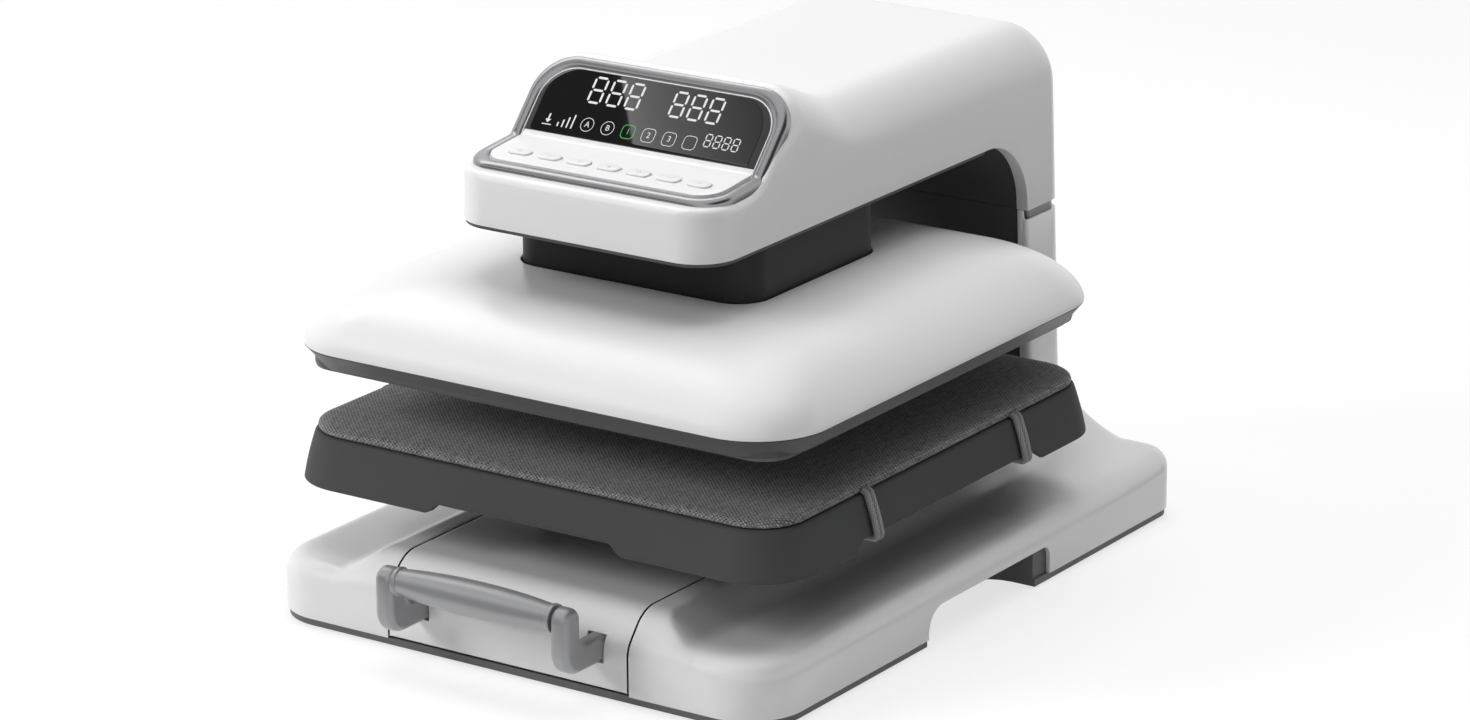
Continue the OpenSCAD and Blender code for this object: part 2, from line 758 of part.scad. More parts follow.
// Upper platen
module element_path() {
    for (i = [0:3]) {
        translate([(i - 1.5) * element_pitch, 0]) children(0);
    }
    for (i = [0:2]) {
        translate([(i - 1) * element_pitch, (i % 2 == 0 ? 1 : -1) * element_run])
            rotate(i % 2 == 0 ? 0 : 180) children(1);
    }
}

module heat_plate() {
    groove = element_r + 0.1;
    color(steel) at_press() difference() {
        slab(plate_w / 2, -plate_w / 2, plate_w / 2, 22, plate_z, plate_top);
        translate([0, 0, plate_z + plate_t / 2 - groove]) linear_extrude(plate_t) element_path() {
            square([2 * groove, 2 * element_run], center = true);
            intersection() {
                difference() {
                    circle(element_pitch / 2 + groove);
                    circle(element_pitch / 2 - groove);
                }
                translate([-element_pitch, 0]) square([2 * element_pitch, element_pitch]);
            }
        }
    }
}

module heating_element() {
    ends = 1.5 * element_pitch;
    color(silver) at_press() translate([0, 0, plate_z + plate_t / 2]) union() {
        element_path() {
            translate([0, element_run, 0]) rotate([90, 0, 0])
                cylinder(h = 2 * element_run, r = element_r);
            rotate_extrude(angle = 180) translate([element_pitch / 2, 0]) circle(element_r);
        }
        for (s = [-1, 1]) {
            translate([s * ends, element_r - element_run, 0])
                cylinder(h = plate_t / 2 + board_t + 6, r = element_r - 0.4);
        }
    }
}

module insulation_board() {
    h = plate_w / 2 - 20;
    color([0.8, 0.78, 0.72]) at_press() difference() {
        slab(h, -h, h, 20, plate_top, ram_z);
        for (s = [-1, 1]) {
            translate([s * 1.5 * element_pitch, element_r - element_run, plate_top - cut])
                cylinder(h = board_t + 2 * cut, r = element_r + 1);
        }
    }
}

module pressure_plate() {
    color(steel) at_press() slab(neck_w / 2 - skin - 5, 8 - neck_d / 2, neck_d / 2 - 8, 12, ram_z,
        ram_foot);
}

module press_ram() {
    color(steel) at_press() translate([0, 0, ram_foot]) difference() {
        union() {
            cylinder(h = ram_top - ram_foot, r = ram_r);
            cylinder(h = 6, r = ram_r + 12);
        }
        translate([0, 0, 2]) cylinder(h = ram_top, r = screw_r + 1);
        translate([0, 0, ram_top - ram_foot - 16]) cylinder(h = 17, r = screw_r + 4.5);
    }
}

module screw_nut() {
    color(brass) at_press() translate([0, 0, ram_top - 16]) difference() {
        union() {
            cylinder(h = 16, r = screw_r + 4.4);
            translate([0, 0, 16]) cylinder(h = 4, r = ram_r - 0.5);
        }
        translate([0, 0, -cut]) cylinder(h = 22, r = screw_r + running);
    }
}

module rod_places() {
    for (x = [-rod_x, rod_x]) for (y = [-rod_y, rod_y]) {
        translate([x, y, 0]) children();
    }
}

module guide_rods() {
    color(steel) at_press() rod_places() translate([0, 0, ram_foot])
        cylinder(h = guide_z + guide_t + stroke + 20 - ram_foot, r = rod_r);
}

function platen_ring(d, s, z) =
    let (hx = platen_w / 2 * (1 - s) + (neck_w / 2 + neck_gap) * s,
        hy = platen_w / 2 * (1 - s) + (neck_d / 2 + neck_gap) * s)
    let (r = platen_r * (1 - s) + (neck_r + neck_gap) * s)
    ring(hx - d, d - hy, hy - d, max(r - d, 2), max(r - d, 2), z);

function dome(s) = dome_h * pow(1 - pow(1 - s, 3), 0.62);

module platen_cover() {
    steps = [for (i = [0:loft_n]) pow(i / loft_n, 2.2)];
    inside = [for (i = [loft_n:-1:1]) platen_ring(skin * (1 - steps[i]), steps[i],
        parting_z + dome(steps[i]) - skin)];
    color(white) at_press() ring_loft(concat([for (s = steps) platen_ring(0, s, parting_z + dome(s))],
        inside, [platen_ring(skin, 0, parting_z)]), closed = true);
}

module platen_skirt() {
    out = platen_w / 2 - 0.5;
    low = plate_w / 2 + 5;
    edge = plate_w / 2 + 0.5;
    top = parting_z;
    color(graphite) at_press() ring_loft([square_ring(low - 1, platen_r - 10, plate_z + 2),
        square_ring(low, platen_r - 9, plate_z + 3),
        square_ring(out, platen_r - 1, top - 1), square_ring(out - 0.5, platen_r - 1, top),
            square_ring(out - 6, platen_r - 6, top),
        square_ring(edge - 5, 18, plate_top + 2), square_ring(edge - 5, 18, plate_top),
            square_ring(edge, 22, plate_top),
        square_ring(edge, 22, plate_z + 2)], closed = true);
}

// Neck between head and platen, fixed to the head
module neck_sleeve() {
    hx = neck_w / 2;
    hy = neck_d / 2;
    top = arm_low - 0.5;
    color(charcoal) at_press() difference() {
        union() {
            slab(hx, -hy, hy, neck_r, ram_z + 1.5, top);
            slab(hx + 5, -hy - 5, hy + 5, neck_r + 5, head_z, head_z + 3);
        }
        slab(hx - skin, skin - hy, hy - skin, neck_r - skin, ram_z, top + cut);
    }
}

// Head
function ledge_z(y) = lip_z + ledge_step + (y + ledge_front) * tan(ledge_tilt);
function display_z(y) = ledge_z(-fold_y) + (y + fold_y) * tan(display_tilt);
function hood_z(y) = arm_z + hood_rise * (y < hood_y ? 1 : y > hood_y + hood_run ? 0 : 0.5 + 0.5 * cos(180
    * (y - hood_y) / hood_run));
function shell_top(y) =
    smooth_min(smooth_max(lip_z, display_z(y) - border_drop, 10), hood_z(y), 4) - fall(-y, lip_r,
        head_front) - fall(y, arm_r, base_back);
function shell_low(y) = y <= arch_y ? head_z : y > column_front ? seam_z : arch_z + sqrt(max(0,
    arch_r * arch_r - (y - arch_y) * (y - arch_y)));
function shell_round(y) = y < -60 ? lip_r : y < -20 ? lip_r + (y + 60) / 40 * (30 - lip_r) : y < 60 ? 30
    + (y + 20) / 80 * (arm_r - 30) : arm_r;
function shell_narrow(y) = fall(-y, head_r, head_front) + fall(y, column_r, base_back);

head_stations = concat([for (a = [0:15:90]) -head_front + head_r * (1 - cos(a))],
    [-96, -84, -76, -71, -66, -60, -52, -44, -37, -31, -26, -21, -15, -5],
    [8, 25, 42, 60, 85, 120, 160], [for (a = [0:15:90]) arch_y + arch_r * sin(a)], [column_front + 0.2],
    [for (a = [15:15:90]) base_back - arm_r + arm_r * sin(a)]);

// Section of the head from its lower left edge over the top to its lower right edge
function head_section(y, d, side, at) =
    let (top = shell_top(y) - d, low = shell_low(y), r = min(max(shell_round(y) - d, 2), (top - low) / 2))
    let (w = half_width(top - r) - shell_narrow(y) - side,
        foot = half_width(low) - shell_narrow(y) - side)
    let (right = concat([[foot, low]], arc(w - r, top - r, r, 0, 90, corner_n)))
    [for (p = concat(mirror_x([for (i = [len(right) - 1:-1:0]) right[i]]),
        [for (i = [len(right) - 1:-1:0]) right[i]])) [p[0], at, p[1]]];

module head_loft() {
    span = base_back + head_front;
    inner = (span - 2 * skin) / span;
    section_shell([for (y = head_stations) head_section(y, 0, 0, y)],
        [for (y = head_stations) head_section(y, skin, y > arch_y ? rim_w : skin,
            skin - head_front + (y + head_front) * inner)]);
}

// Outline of the control panel in plan, drawn in by d
function panel_outline(d) =
    let (hx = bezel_w / 2 - d, y0 = -ledge_front + d, y1 = -panel_top - d * cos(display_tilt),
        r = 16 - d / 2, rx = 30 - d / 2)
    let (ry = rx * cos(display_tilt))
    let (right = concat(arc(hx - r, y0 + r, r, 270, 360, 6),
        [for (p = arc(0, 0, 1, 0, 90, 6)) [hx - rx + rx * p[0], y1 - ry + ry * p[1]]]))
    concat(right, mirror_x(right));

module panel_prism(d) {
    translate([0, 0, head_z + 8]) linear_extrude(120) polygon(panel_outline(d));
}

// Folded surface of ledge and display, as a band between two heights over it
fold_r = 4;
fold_reach = fold_r * tan((display_tilt - ledge_tilt) / 2);
fold_pt = [-fold_y, ledge_z(-fold_y)];
fold_start = fold_pt - fold_reach * [cos(ledge_tilt), sin(ledge_tilt)];
function panel_curve(t) =
    let (c = fold_start + fold_r * [-sin(ledge_tilt), cos(ledge_tilt)])
    concat([[-head_front, ledge_z(-head_front) + t]],
        arc(c[0], c[1] + t, fold_r, ledge_tilt - 90, display_tilt - 90, 5), [[0, display_z(0) + t]]);

module panel_band(t0, t1) {
    low = panel_curve(t0);
    across(-bezel_w, bezel_w) polygon(concat(panel_curve(t1), [for (i = [len(low) - 1:-1:0]) low[i]]));
}

module head_shell() {
    color(white) at_press() difference() {
        head_loft();
        panel_prism(-0.2);
    }
}

module head_belly() {
    hx = half_width(head_z) - 1;
    band = arch_r + 1.5;
    deep = band + 3;
    top = head_z + 8;
    color(charcoal) at_press() union() {
        difference() {
            translate([0, 0, head_z - belly_t]) linear_extrude(belly_t)
                plan(hx, 1 - head_front, arch_y - 3, head_r - 1, 1);
            slab(neck_w / 2 + 0.2, -neck_d / 2 - 0.2, neck_d / 2 + 0.2, neck_r, head_z - belly_t - cut,
                head_z + cut);
        }
        intersection() {
            along(arch_y - 20, base_back) polygon([[panel_half(seam_z), seam_z], [panel_half(top), top],
                [-panel_half(top), top], [-panel_half(seam_z), seam_z]]);
            across(-head_w, head_w) difference() {
                union() {
                    translate([arch_y, arch_z]) circle(deep);
                    translate([arch_y - 10, seam_z]) square([deep + 10, arch_z - seam_z]);
                }
                translate([arch_y, arch_z]) circle(band);
                translate([arch_y - 2 * deep, seam_z - cut])
                    square([2 * deep + band, arch_z - seam_z + cut]);
                translate([arch_y - 2 * deep, arch_z - 2 * deep]) square([2 * deep - 8, 4 * deep]);
                translate([arch_y - deep, arch_z - 2 * deep]) square([deep, 2 * deep + arch_r - belly_t]);
            }
        }
        translate([-panel_half(top), arch_y - 7, head_z - 1]) cube([2 * panel_half(top), 4, 4]);
    }
}

module control_bezel() {
    color(silver) at_press() difference() {
        intersection() {
            panel_band(-7, 1.5);
            panel_prism(0);
        }
        panel_prism(band_w);
    }
}

module key_places(from, to) {
    for (i = [from:to]) {
        translate([(i - 4) * key_pitch, -100, ledge_z(-100)]) rotate([ledge_tilt, 0, 0]) children();
    }
}

module key_outline(d) {
    r = key_d / 2 - 0.5;
    offset_x = key_l / 2 - r;
    union() {
        square([key_l + 2 * d, key_d - 2 * r + 2 * d], center = true);
        square([key_l - 2 * r, key_d + 2 * d], center = true);
        for (x = [-1, 1]) for (y = [-1, 1]) {
            translate([x * offset_x, y * (key_d / 2 - r)]) circle(r + d);
        }
    }
}

module key_panel() {
    boss_h = 6.4;
    color(white) at_press() union() {
        difference() {
            intersection() {
                panel_band(-4, 0);
                panel_prism(band_w + 0.2);
                translate([-bezel_w, -base_back, 0]) cube([2 * bezel_w,
                    base_back - fold_y + fold_reach + 1, 2 * arm_z]);
            }
            key_places(1, 7) translate([0, 0, -10]) linear_extrude(20) key_outline(key_gap);
        }
        for (x = [-1, 1]) {
            translate([x * (bezel_w / 2 - 14), -100, ledge_z(-100)]) rotate([ledge_tilt, 0, 0])
                translate([0, 0, -4 - boss_h]) cylinder(h = boss_h + 2, r = 3);
        }
    }
}

module display_window() {
    color(black) at_press() intersection() {
        panel_band(-4, 0.3);
        panel_prism(band_w + 0.2);
        translate([-bezel_w, -fold_y + fold_reach + 1.1, 0]) cube([2 * bezel_w, base_back, 2 * arm_z]);
    }
}

module key(i) {
    color(white) at_press() key_places(i, i) {
        translate([0, 0, -3]) linear_extrude(4.2) key_outline(0);
        translate([0, 0, -8.8 + key_travel]) cylinder(h = 6.6, r = 2.5);
    }
}

module control_board() {
    board = 1.6;
    color(green) at_press() union() {
        translate([0, -100, ledge_z(-100)]) rotate([ledge_tilt, 0, 0])
            translate([-bezel_w / 2 + 10, -11, -10.4 - board]) cube([bezel_w - 20, 34, board]);
        key_places(1, 7) translate([-3, -3, -10.5]) cube([6, 6, 1.4]);
        intersection() {
            panel_band(-4.05 - board / cos(display_tilt), -4.05);
            panel_prism(band_w + 6);
            translate([-bezel_w, -fold_y + fold_reach + 2, 0]) cube([2 * bezel_w, base_back, 2 * arm_z]);
        }
    }
}

// Column
function column_ring(d, z) =
    ring(half_width(z) - d, column_front + d, base_back - d, max(4 - d, 1), column_r - d, z);

module column_cover() {
    top = seam_z - seam_h;
    color(white) at_press() difference() {
        ring_loft([column_ring(0, column_z), column_ring(0, top)]);
        ring_loft([column_ring(skin, column_z - cut), column_ring(skin, top + cut)]);
        along(column_front - cut, column_front + skin + cut)
            polygon([[half_width(column_z) - rim_w, column_z - cut],
            [half_width(top) - rim_w, top + cut], [rim_w - half_width(top), top + cut],
                [rim_w - half_width(column_z), column_z - cut]]);
        translate([inlet_x - inlet_w / 2, base_back - skin - cut, inlet_z - inlet_h / 2])
            cube([inlet_w, skin + 2 * cut, inlet_h]);
        translate([switch_x - switch_w / 2, base_back - skin - cut, inlet_z - inlet_h / 2])
            cube([switch_w, skin + 2 * cut, inlet_h]);
    }
}

module column_trim() {
    hx = half_width(seam_z) - seam_d;
    color([0.6, 0.6, 0.61]) at_press() difference() {
        translate([0, 0, seam_z - seam_h]) linear_extrude(seam_h)
            plan(hx, column_front + 6, base_back - seam_d, 2, column_r - seam_d);
        translate([0, 0, seam_z - seam_h - cut]) linear_extrude(seam_h + 2 * cut)
            plan(hx - 3, column_front, base_back - seam_d - 3, 2, column_r - seam_d - 3);
    }
}

module column_panel() {
    top = seam_z - 0.4;
    color(charcoal) at_press() along(column_front + 1.5, column_front + 4.5)
        polygon([[panel_half(column_z), column_z],
        [panel_half(top), top], [-panel_half(top), top], [-panel_half(column_z), column_z]]);
}

// Steel frame and drive
module c_frame() {
    back = base_back - 8;
    post = column_front + 8;
    gusset = 30;
    color(graphite) at_press() union() {
        both_sides() across(frame_half - frame_t, frame_half) difference() {
            union() {
                translate([post, shell_z]) square([back - post, arm_high - shell_z]);
                translate([-rod_y - 14, arm_low]) square([back + rod_y + 14, arm_high - arm_low]);
                translate([-rod_y - 14, guide_z]) square([2 * rod_y + 28, arm_low - guide_z + cut]);
                translate([post - gusset, arm_low - gusset]) square([gusset + cut, gusset + cut]);
            }
            translate([post - gusset, arm_low - gusset]) circle(gusset);
        }
        difference() {
            translate([-frame_half + frame_t, -rod_y - 14, arm_low])
                cube([2 * (frame_half - frame_t), 2 * rod_y + 28, guide_t]);
            translate([0, 0, arm_low - cut]) cylinder(h = guide_t + 2 * cut, r = screw_r + 6);
            rod_places() translate([0, 0, arm_low - cut]) cylinder(h = guide_t + 2 * cut, r = rod_r + 2);
        }
    }
}

module guide_plate() {
    color(steel) at_press() difference() {
        translate([-frame_half + frame_t, -rod_y - 14, guide_z])
            cube([2 * (frame_half - frame_t), 2 * rod_y + 28, guide_t]);
        translate([0, 0, guide_z - cut]) cylinder(h = guide_t + 2 * cut, r = ram_r + 2);
        rod_places() translate([0, 0, guide_z - cut]) cylinder(h = guide_t + 2 * cut, r = rod_r + 4);
    }
}

module guide_bushes() {
    color(brass) at_press() rod_places() translate([0, 0, guide_z]) difference() {
        union() {
            cylinder(h = guide_t, r = rod_r + 4);
            translate([0, 0, guide_t]) cylinder(h = 6, r = rod_r + 6);
        }
        translate([0, 0, -cut]) cylinder(h = guide_t + 8, r = rod_r + running);
    }
}

module screw_bearing() {
    color(steel) at_press() translate([0, 0, arm_low]) difference() {
        cylinder(h = guide_t, r = screw_r + 6);
        translate([0, 0, -cut]) cylinder(h = guide_t + 2 * cut, r = screw_r + running);
    }
}

module lead_screw() {
    color(steel) at_press() union() {
        translate([0, 0, screw_low]) cylinder(h = gearbox_z - screw_low, r = screw_r);
        translate([0, 0, gearbox_z + 0.3]) cylinder(h = 3, r = screw_r + 3);
        translate([0, 0, gearbox_z - cut]) cylinder(h = 22, r = screw_r - 2);
    }
}

module gearbox() {
    color(graphite) at_press() difference() {
        translate([-30, -28, gearbox_z]) cube([60, 60, gearbox_h]);
        translate([0, 0, gearbox_z - cut]) cylinder(h = 5, r = screw_r + 4);
        translate([0, 0, gearbox_z - cut]) cylinder(h = 24, r = screw_r - 2 + running);
    }
}

module drive_motor() {
    z = gearbox_z + gearbox_h / 2;
    color(steel) at_press() translate([0, 32, z]) rotate([-90, 0, 0]) union() {
        cylinder(h = 5, r = motor_r + 3);
        cylinder(h = motor_l, r = motor_r);
        cylinder(h = motor_l + 6, r = 7);
    }
}

// Electrics
module power_board() {
    color(green) at_press() translate([0, 150, arm_high]) union() {
        translate([-frame_half, 0, 0]) cube([2 * frame_half, 84, 1.6]);
        translate([-50, 10, 1.6]) cube([34, 40, 24]);
        translate([30, 14, 1.6]) cube([26, 30, 18]);
        for (x = [-4, 16]) {
            translate([x, 62, 1.6]) cylinder(h = 22, r = 8);
        }
    }
}

module mains_inlet() {
    color(black) at_press() translate([inlet_x, base_back, inlet_z]) rotate([90, 0, 0]) difference() {
        union() {
            translate([-inlet_w / 2 + 0.2, -inlet_h / 2 + 0.2, 0])
                cube([inlet_w - 0.4, inlet_h - 0.4, 20]);
            translate([-inlet_w / 2 - 2, -inlet_h / 2 - 2, skin]) cube([inlet_w + 4, inlet_h + 4, 2]);
        }
        translate([-11.5, -8, -cut]) cube([23, 16, 15]);
    }
    color(steel) at_press() for (p = [[-7, -2], [7, -2], [0, 3]]) {
        translate([inlet_x + p[0] - 1, base_back - 15, inlet_z + p[1] - 2.5]) cube([2, 12, 5]);
    }
}

module switch_housing() {
    color(black) at_press() translate([switch_x, base_back, inlet_z]) rotate([90, 0, 0]) difference() {
        union() {
            translate([-switch_w / 2 + 0.2, -inlet_h / 2 + 0.2, 0])
                cube([switch_w - 0.4, inlet_h - 0.4, 16]);
            translate([-switch_w / 2 - 2, -inlet_h / 2 - 2, skin]) cube([switch_w + 4, inlet_h + 4, 2]);
        }
        translate([-switch_w / 2 + 2, -inlet_h / 2 + 2, -cut]) cube([switch_w - 4, inlet_h - 4, 11]);
        translate([-switch_w / 2 + 1, 0, 5]) rotate([0, 90, 0])
            cylinder(h = switch_w - 2, r = 1.5 + running);
    }
}

module power_rocker() {
    half = inlet_h / 2 - 2.8;
    color(black) at_press() translate([switch_x, base_back - 5, inlet_z]) rotate([rocker_tilt, 0, 0])
        union() {
        rotate([0, 90, 0]) translate([0, 0, -switch_w / 2 + 1.2]) cylinder(h = switch_w - 2.4, r = 1.5);
        translate([-switch_w / 2 + 2.5, 0, 0]) rotate([90, 0, 90]) linear_extrude(switch_w - 5)
            polygon([[3.6, -half], [2.6, 0], [3.6, half], [-1.6, half - 1.5], [-3, 0],
                [-1.6, 1.5 - half]]);
    }
}

base_shell();
base_pan();
rubber_feet();
pan_screws();
rail_outer_left();
rail_outer_right();
rail_middle_left();
rail_middle_right();
rail_inner_left();
rail_inner_right();
drawer_cover();
drawer_chassis();
handle_bracket_left();
handle_bracket_right();
handle_grip();
tray_pedestal();
platen_tray();
silicone_pad();
pad_cover();
pad_straps_left();
pad_straps_right();
column_cover();
column_trim();
column_panel();
head_shell();
head_belly();
neck_sleeve();
control_bezel();
display_window();
key_panel();
key(1);  // key_1
key(2);  // key_2
key(3);  // key_3
key(4);  // key_4
key(5);  // key_5
key(6);  // key_6
key(7);  // key_7
control_board();
c_frame();
guide_plate();
guide_bushes();
gearbox();
drive_motor();
screw_bearing();
lead_screw();
screw_nut();
press_ram();
guide_rods();
pressure_plate();
insulation_board();
heating_element();
heat_plate();
platen_skirt();
platen_cover();
power_board();
mains_inlet();
switch_housing();
power_rocker();
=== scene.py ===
"""Looks of a countertop heat press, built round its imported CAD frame."""
import logging
import math
from collections.abc import Callable, Sequence
from dataclasses import dataclass, field
from enum import Enum

import bmesh
import bpy
from mathutils import Euler, Matrix, Vector


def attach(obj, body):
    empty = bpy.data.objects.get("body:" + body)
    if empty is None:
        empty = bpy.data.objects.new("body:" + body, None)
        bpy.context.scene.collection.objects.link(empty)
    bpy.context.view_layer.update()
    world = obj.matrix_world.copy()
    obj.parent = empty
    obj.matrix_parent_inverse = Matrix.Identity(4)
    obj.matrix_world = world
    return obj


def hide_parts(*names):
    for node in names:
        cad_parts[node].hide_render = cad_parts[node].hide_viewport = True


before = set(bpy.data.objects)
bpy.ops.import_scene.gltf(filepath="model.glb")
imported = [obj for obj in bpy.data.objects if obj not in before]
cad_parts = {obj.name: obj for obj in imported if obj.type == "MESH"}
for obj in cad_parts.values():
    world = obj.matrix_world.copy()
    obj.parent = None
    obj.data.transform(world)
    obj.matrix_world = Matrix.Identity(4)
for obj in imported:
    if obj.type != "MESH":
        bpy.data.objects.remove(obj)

log = logging.getLogger("heat_press")

# Metres in a millimetre
MM = 0.001
# Place of the press axis along y in the part's frame, in millimetres
PRESS_Y = -16.65
# Distance in millimetres within which points count as one
WELD = 0.004
# Share by which the gloss of a surface changes over it
GLOSS_DRIFT = 0.1
Point = tuple[float, float, float]
Flat = tuple[float, float]
Tree = bpy.types.NodeTree
Node = bpy.types.Node
Socket = bpy.types.NodeSocket


class Body(Enum):
    """Bodies of the moving part that pieces ride on."""

    FRAME = "frame"
    DRAWER = "drawer"
    PLATEN = "platen"


class Slot(Enum):
    """Material slots of the record."""

    WHITE = "white_shell"
    CHARCOAL = "charcoal_shell"
    SKIRT = "graphite_skirt"
    TRAY = "tray_coat"
    HANDLE = "silver_handle"
    TRIM = "silver_trim"
    DISPLAY = "display"
    PAD = "pad"
    WOVEN = "woven"
    ELASTIC = "elastic"
    RUBBER = "foot_rubber"


def arc(cx: float, cy: float, r: float, a0: float, a1: float, n: int) -> list[Flat]:
    """Points of an arc.

    Args:
        cx, cy: Centre.
        r: Radius.
        a0, a1: First and last angle in degrees.
        n: Number of steps.

    Returns:
        n + 1 points.
    """
    turns = [math.radians(a0 + (a1 - a0) * i / n) for i in range(n + 1)]
    return [(cx + r * math.cos(a), cy + r * math.sin(a)) for a in turns]


def lookup(x: float, table: Sequence[Flat]) -> float:
    """Value of a table of points at x, straight between points and level past its ends.

    Args:
        x: Where the table is read.
        table: Points in the order of x.

    Returns:
        Value at x.
    """
    if x <= table[0][0]:
        return table[0][1]
    for (xa, ya), (xb, yb) in zip(table, table[1:]):
        if x <= xb:
            return ya + (yb - ya) * (x - xa) / max(xb - xa, 1e-9)
    return table[-1][1]


def fall(y: float, r: float, end: float) -> float:
    """Drop at y of an edge that ends at end with a round of radius r."""
    run = y - end + r
    return 0.0 if run <= 0 else r - math.sqrt(max(0.0, r * r - run * run))


def smooth_max(a: float, b: float, s: float) -> float:
    """Larger of two numbers, with a soft change over s."""
    return (a + b + math.hypot(a - b, s)) / 2


def smooth_min(a: float, b: float, s: float) -> float:
    """Smaller of two numbers, with a soft change over s."""
    return (a + b - math.hypot(a - b, s)) / 2


def ease(t: float) -> float:
    """Soft step from 0 to 1."""
    t = min(max(t, 0.0), 1.0)
    return t * t * (3 - 2 * t)


def spread(a: float, b: float, n: int) -> list[float]:
    """n + 1 even steps from a to b."""
    return [a + (b - a) * i / n for i in range(n + 1)]


def quarter(r: float, n: int) -> list[float]:
    """Insets of a round edge of radius r, close together where it is steep."""
    return [r * (1 - math.cos(math.pi / 2 * i / n)) for i in range(n + 1)]


def rounded(points: Sequence[Point], passes: int) -> list[Point]:
    """Open path with its corners cut, keeping its ends.

    Args:
        points: Path.
        passes: Number of rounds of corner cutting.

    Returns:
        Smoother path.
    """
    path = [Vector(p) for p in points]
    for _ in range(passes):
        cut = [path[0]]
        for a, b in zip(path, path[1:]):
            cut += [a.lerp(b, 0.25), a.lerp(b, 0.75)]
        path = cut + [path[-1]]
    return [tuple(p) for p in path]


def round_rect(half: float, front: float, back: float, front_r: float, back_r: float,
               corner_n: int = 14, side: Sequence[float] = (), end: Sequence[float] = ()) -> list[Flat]:
    """Rounded rectangle in plan that keeps its point count whatever its size.

    Args:
        half: Half width.
        front, back: Ends along y.
        front_r, back_r: Corner radii.
        corner_n: Steps of each corner.
        side, end: Places of extra points along the sides and the ends, from 0 to 1.

    Returns:
        Points, from the front of the right side round by the back.
    """
    y0, y1 = front + front_r, back - back_r
    flank = [(half, y0 + (y1 - y0) * f) for f in side]
    rear = [(half - back_r - 2 * (half - back_r) * f, back) for f in end]
    nose = [(front_r - half + 2 * (half - front_r) * f, front) for f in end]
    left = [(-x, y) for x, y in reversed(flank)]
    return (flank + arc(half - back_r, y1, back_r, 0, 90, corner_n) + rear
            + arc(back_r - half, y1, back_r, 90, 180, corner_n) + left
            + arc(front_r - half, y0, front_r, 180, 270, corner_n) + nose
            + arc(half - front_r, y0, front_r, 270, 360, corner_n))


def level_ring(hx: float, hy: float, r: float, z: float, corner_n: int,
               side: Sequence[float]) -> list[Point]:
    """Level ring of a rectangle with round corners, from its half width and half depth."""
    return [(x, y, z) for x, y in round_rect(hx, -hy, hy, r, r, corner_n, side, side)]


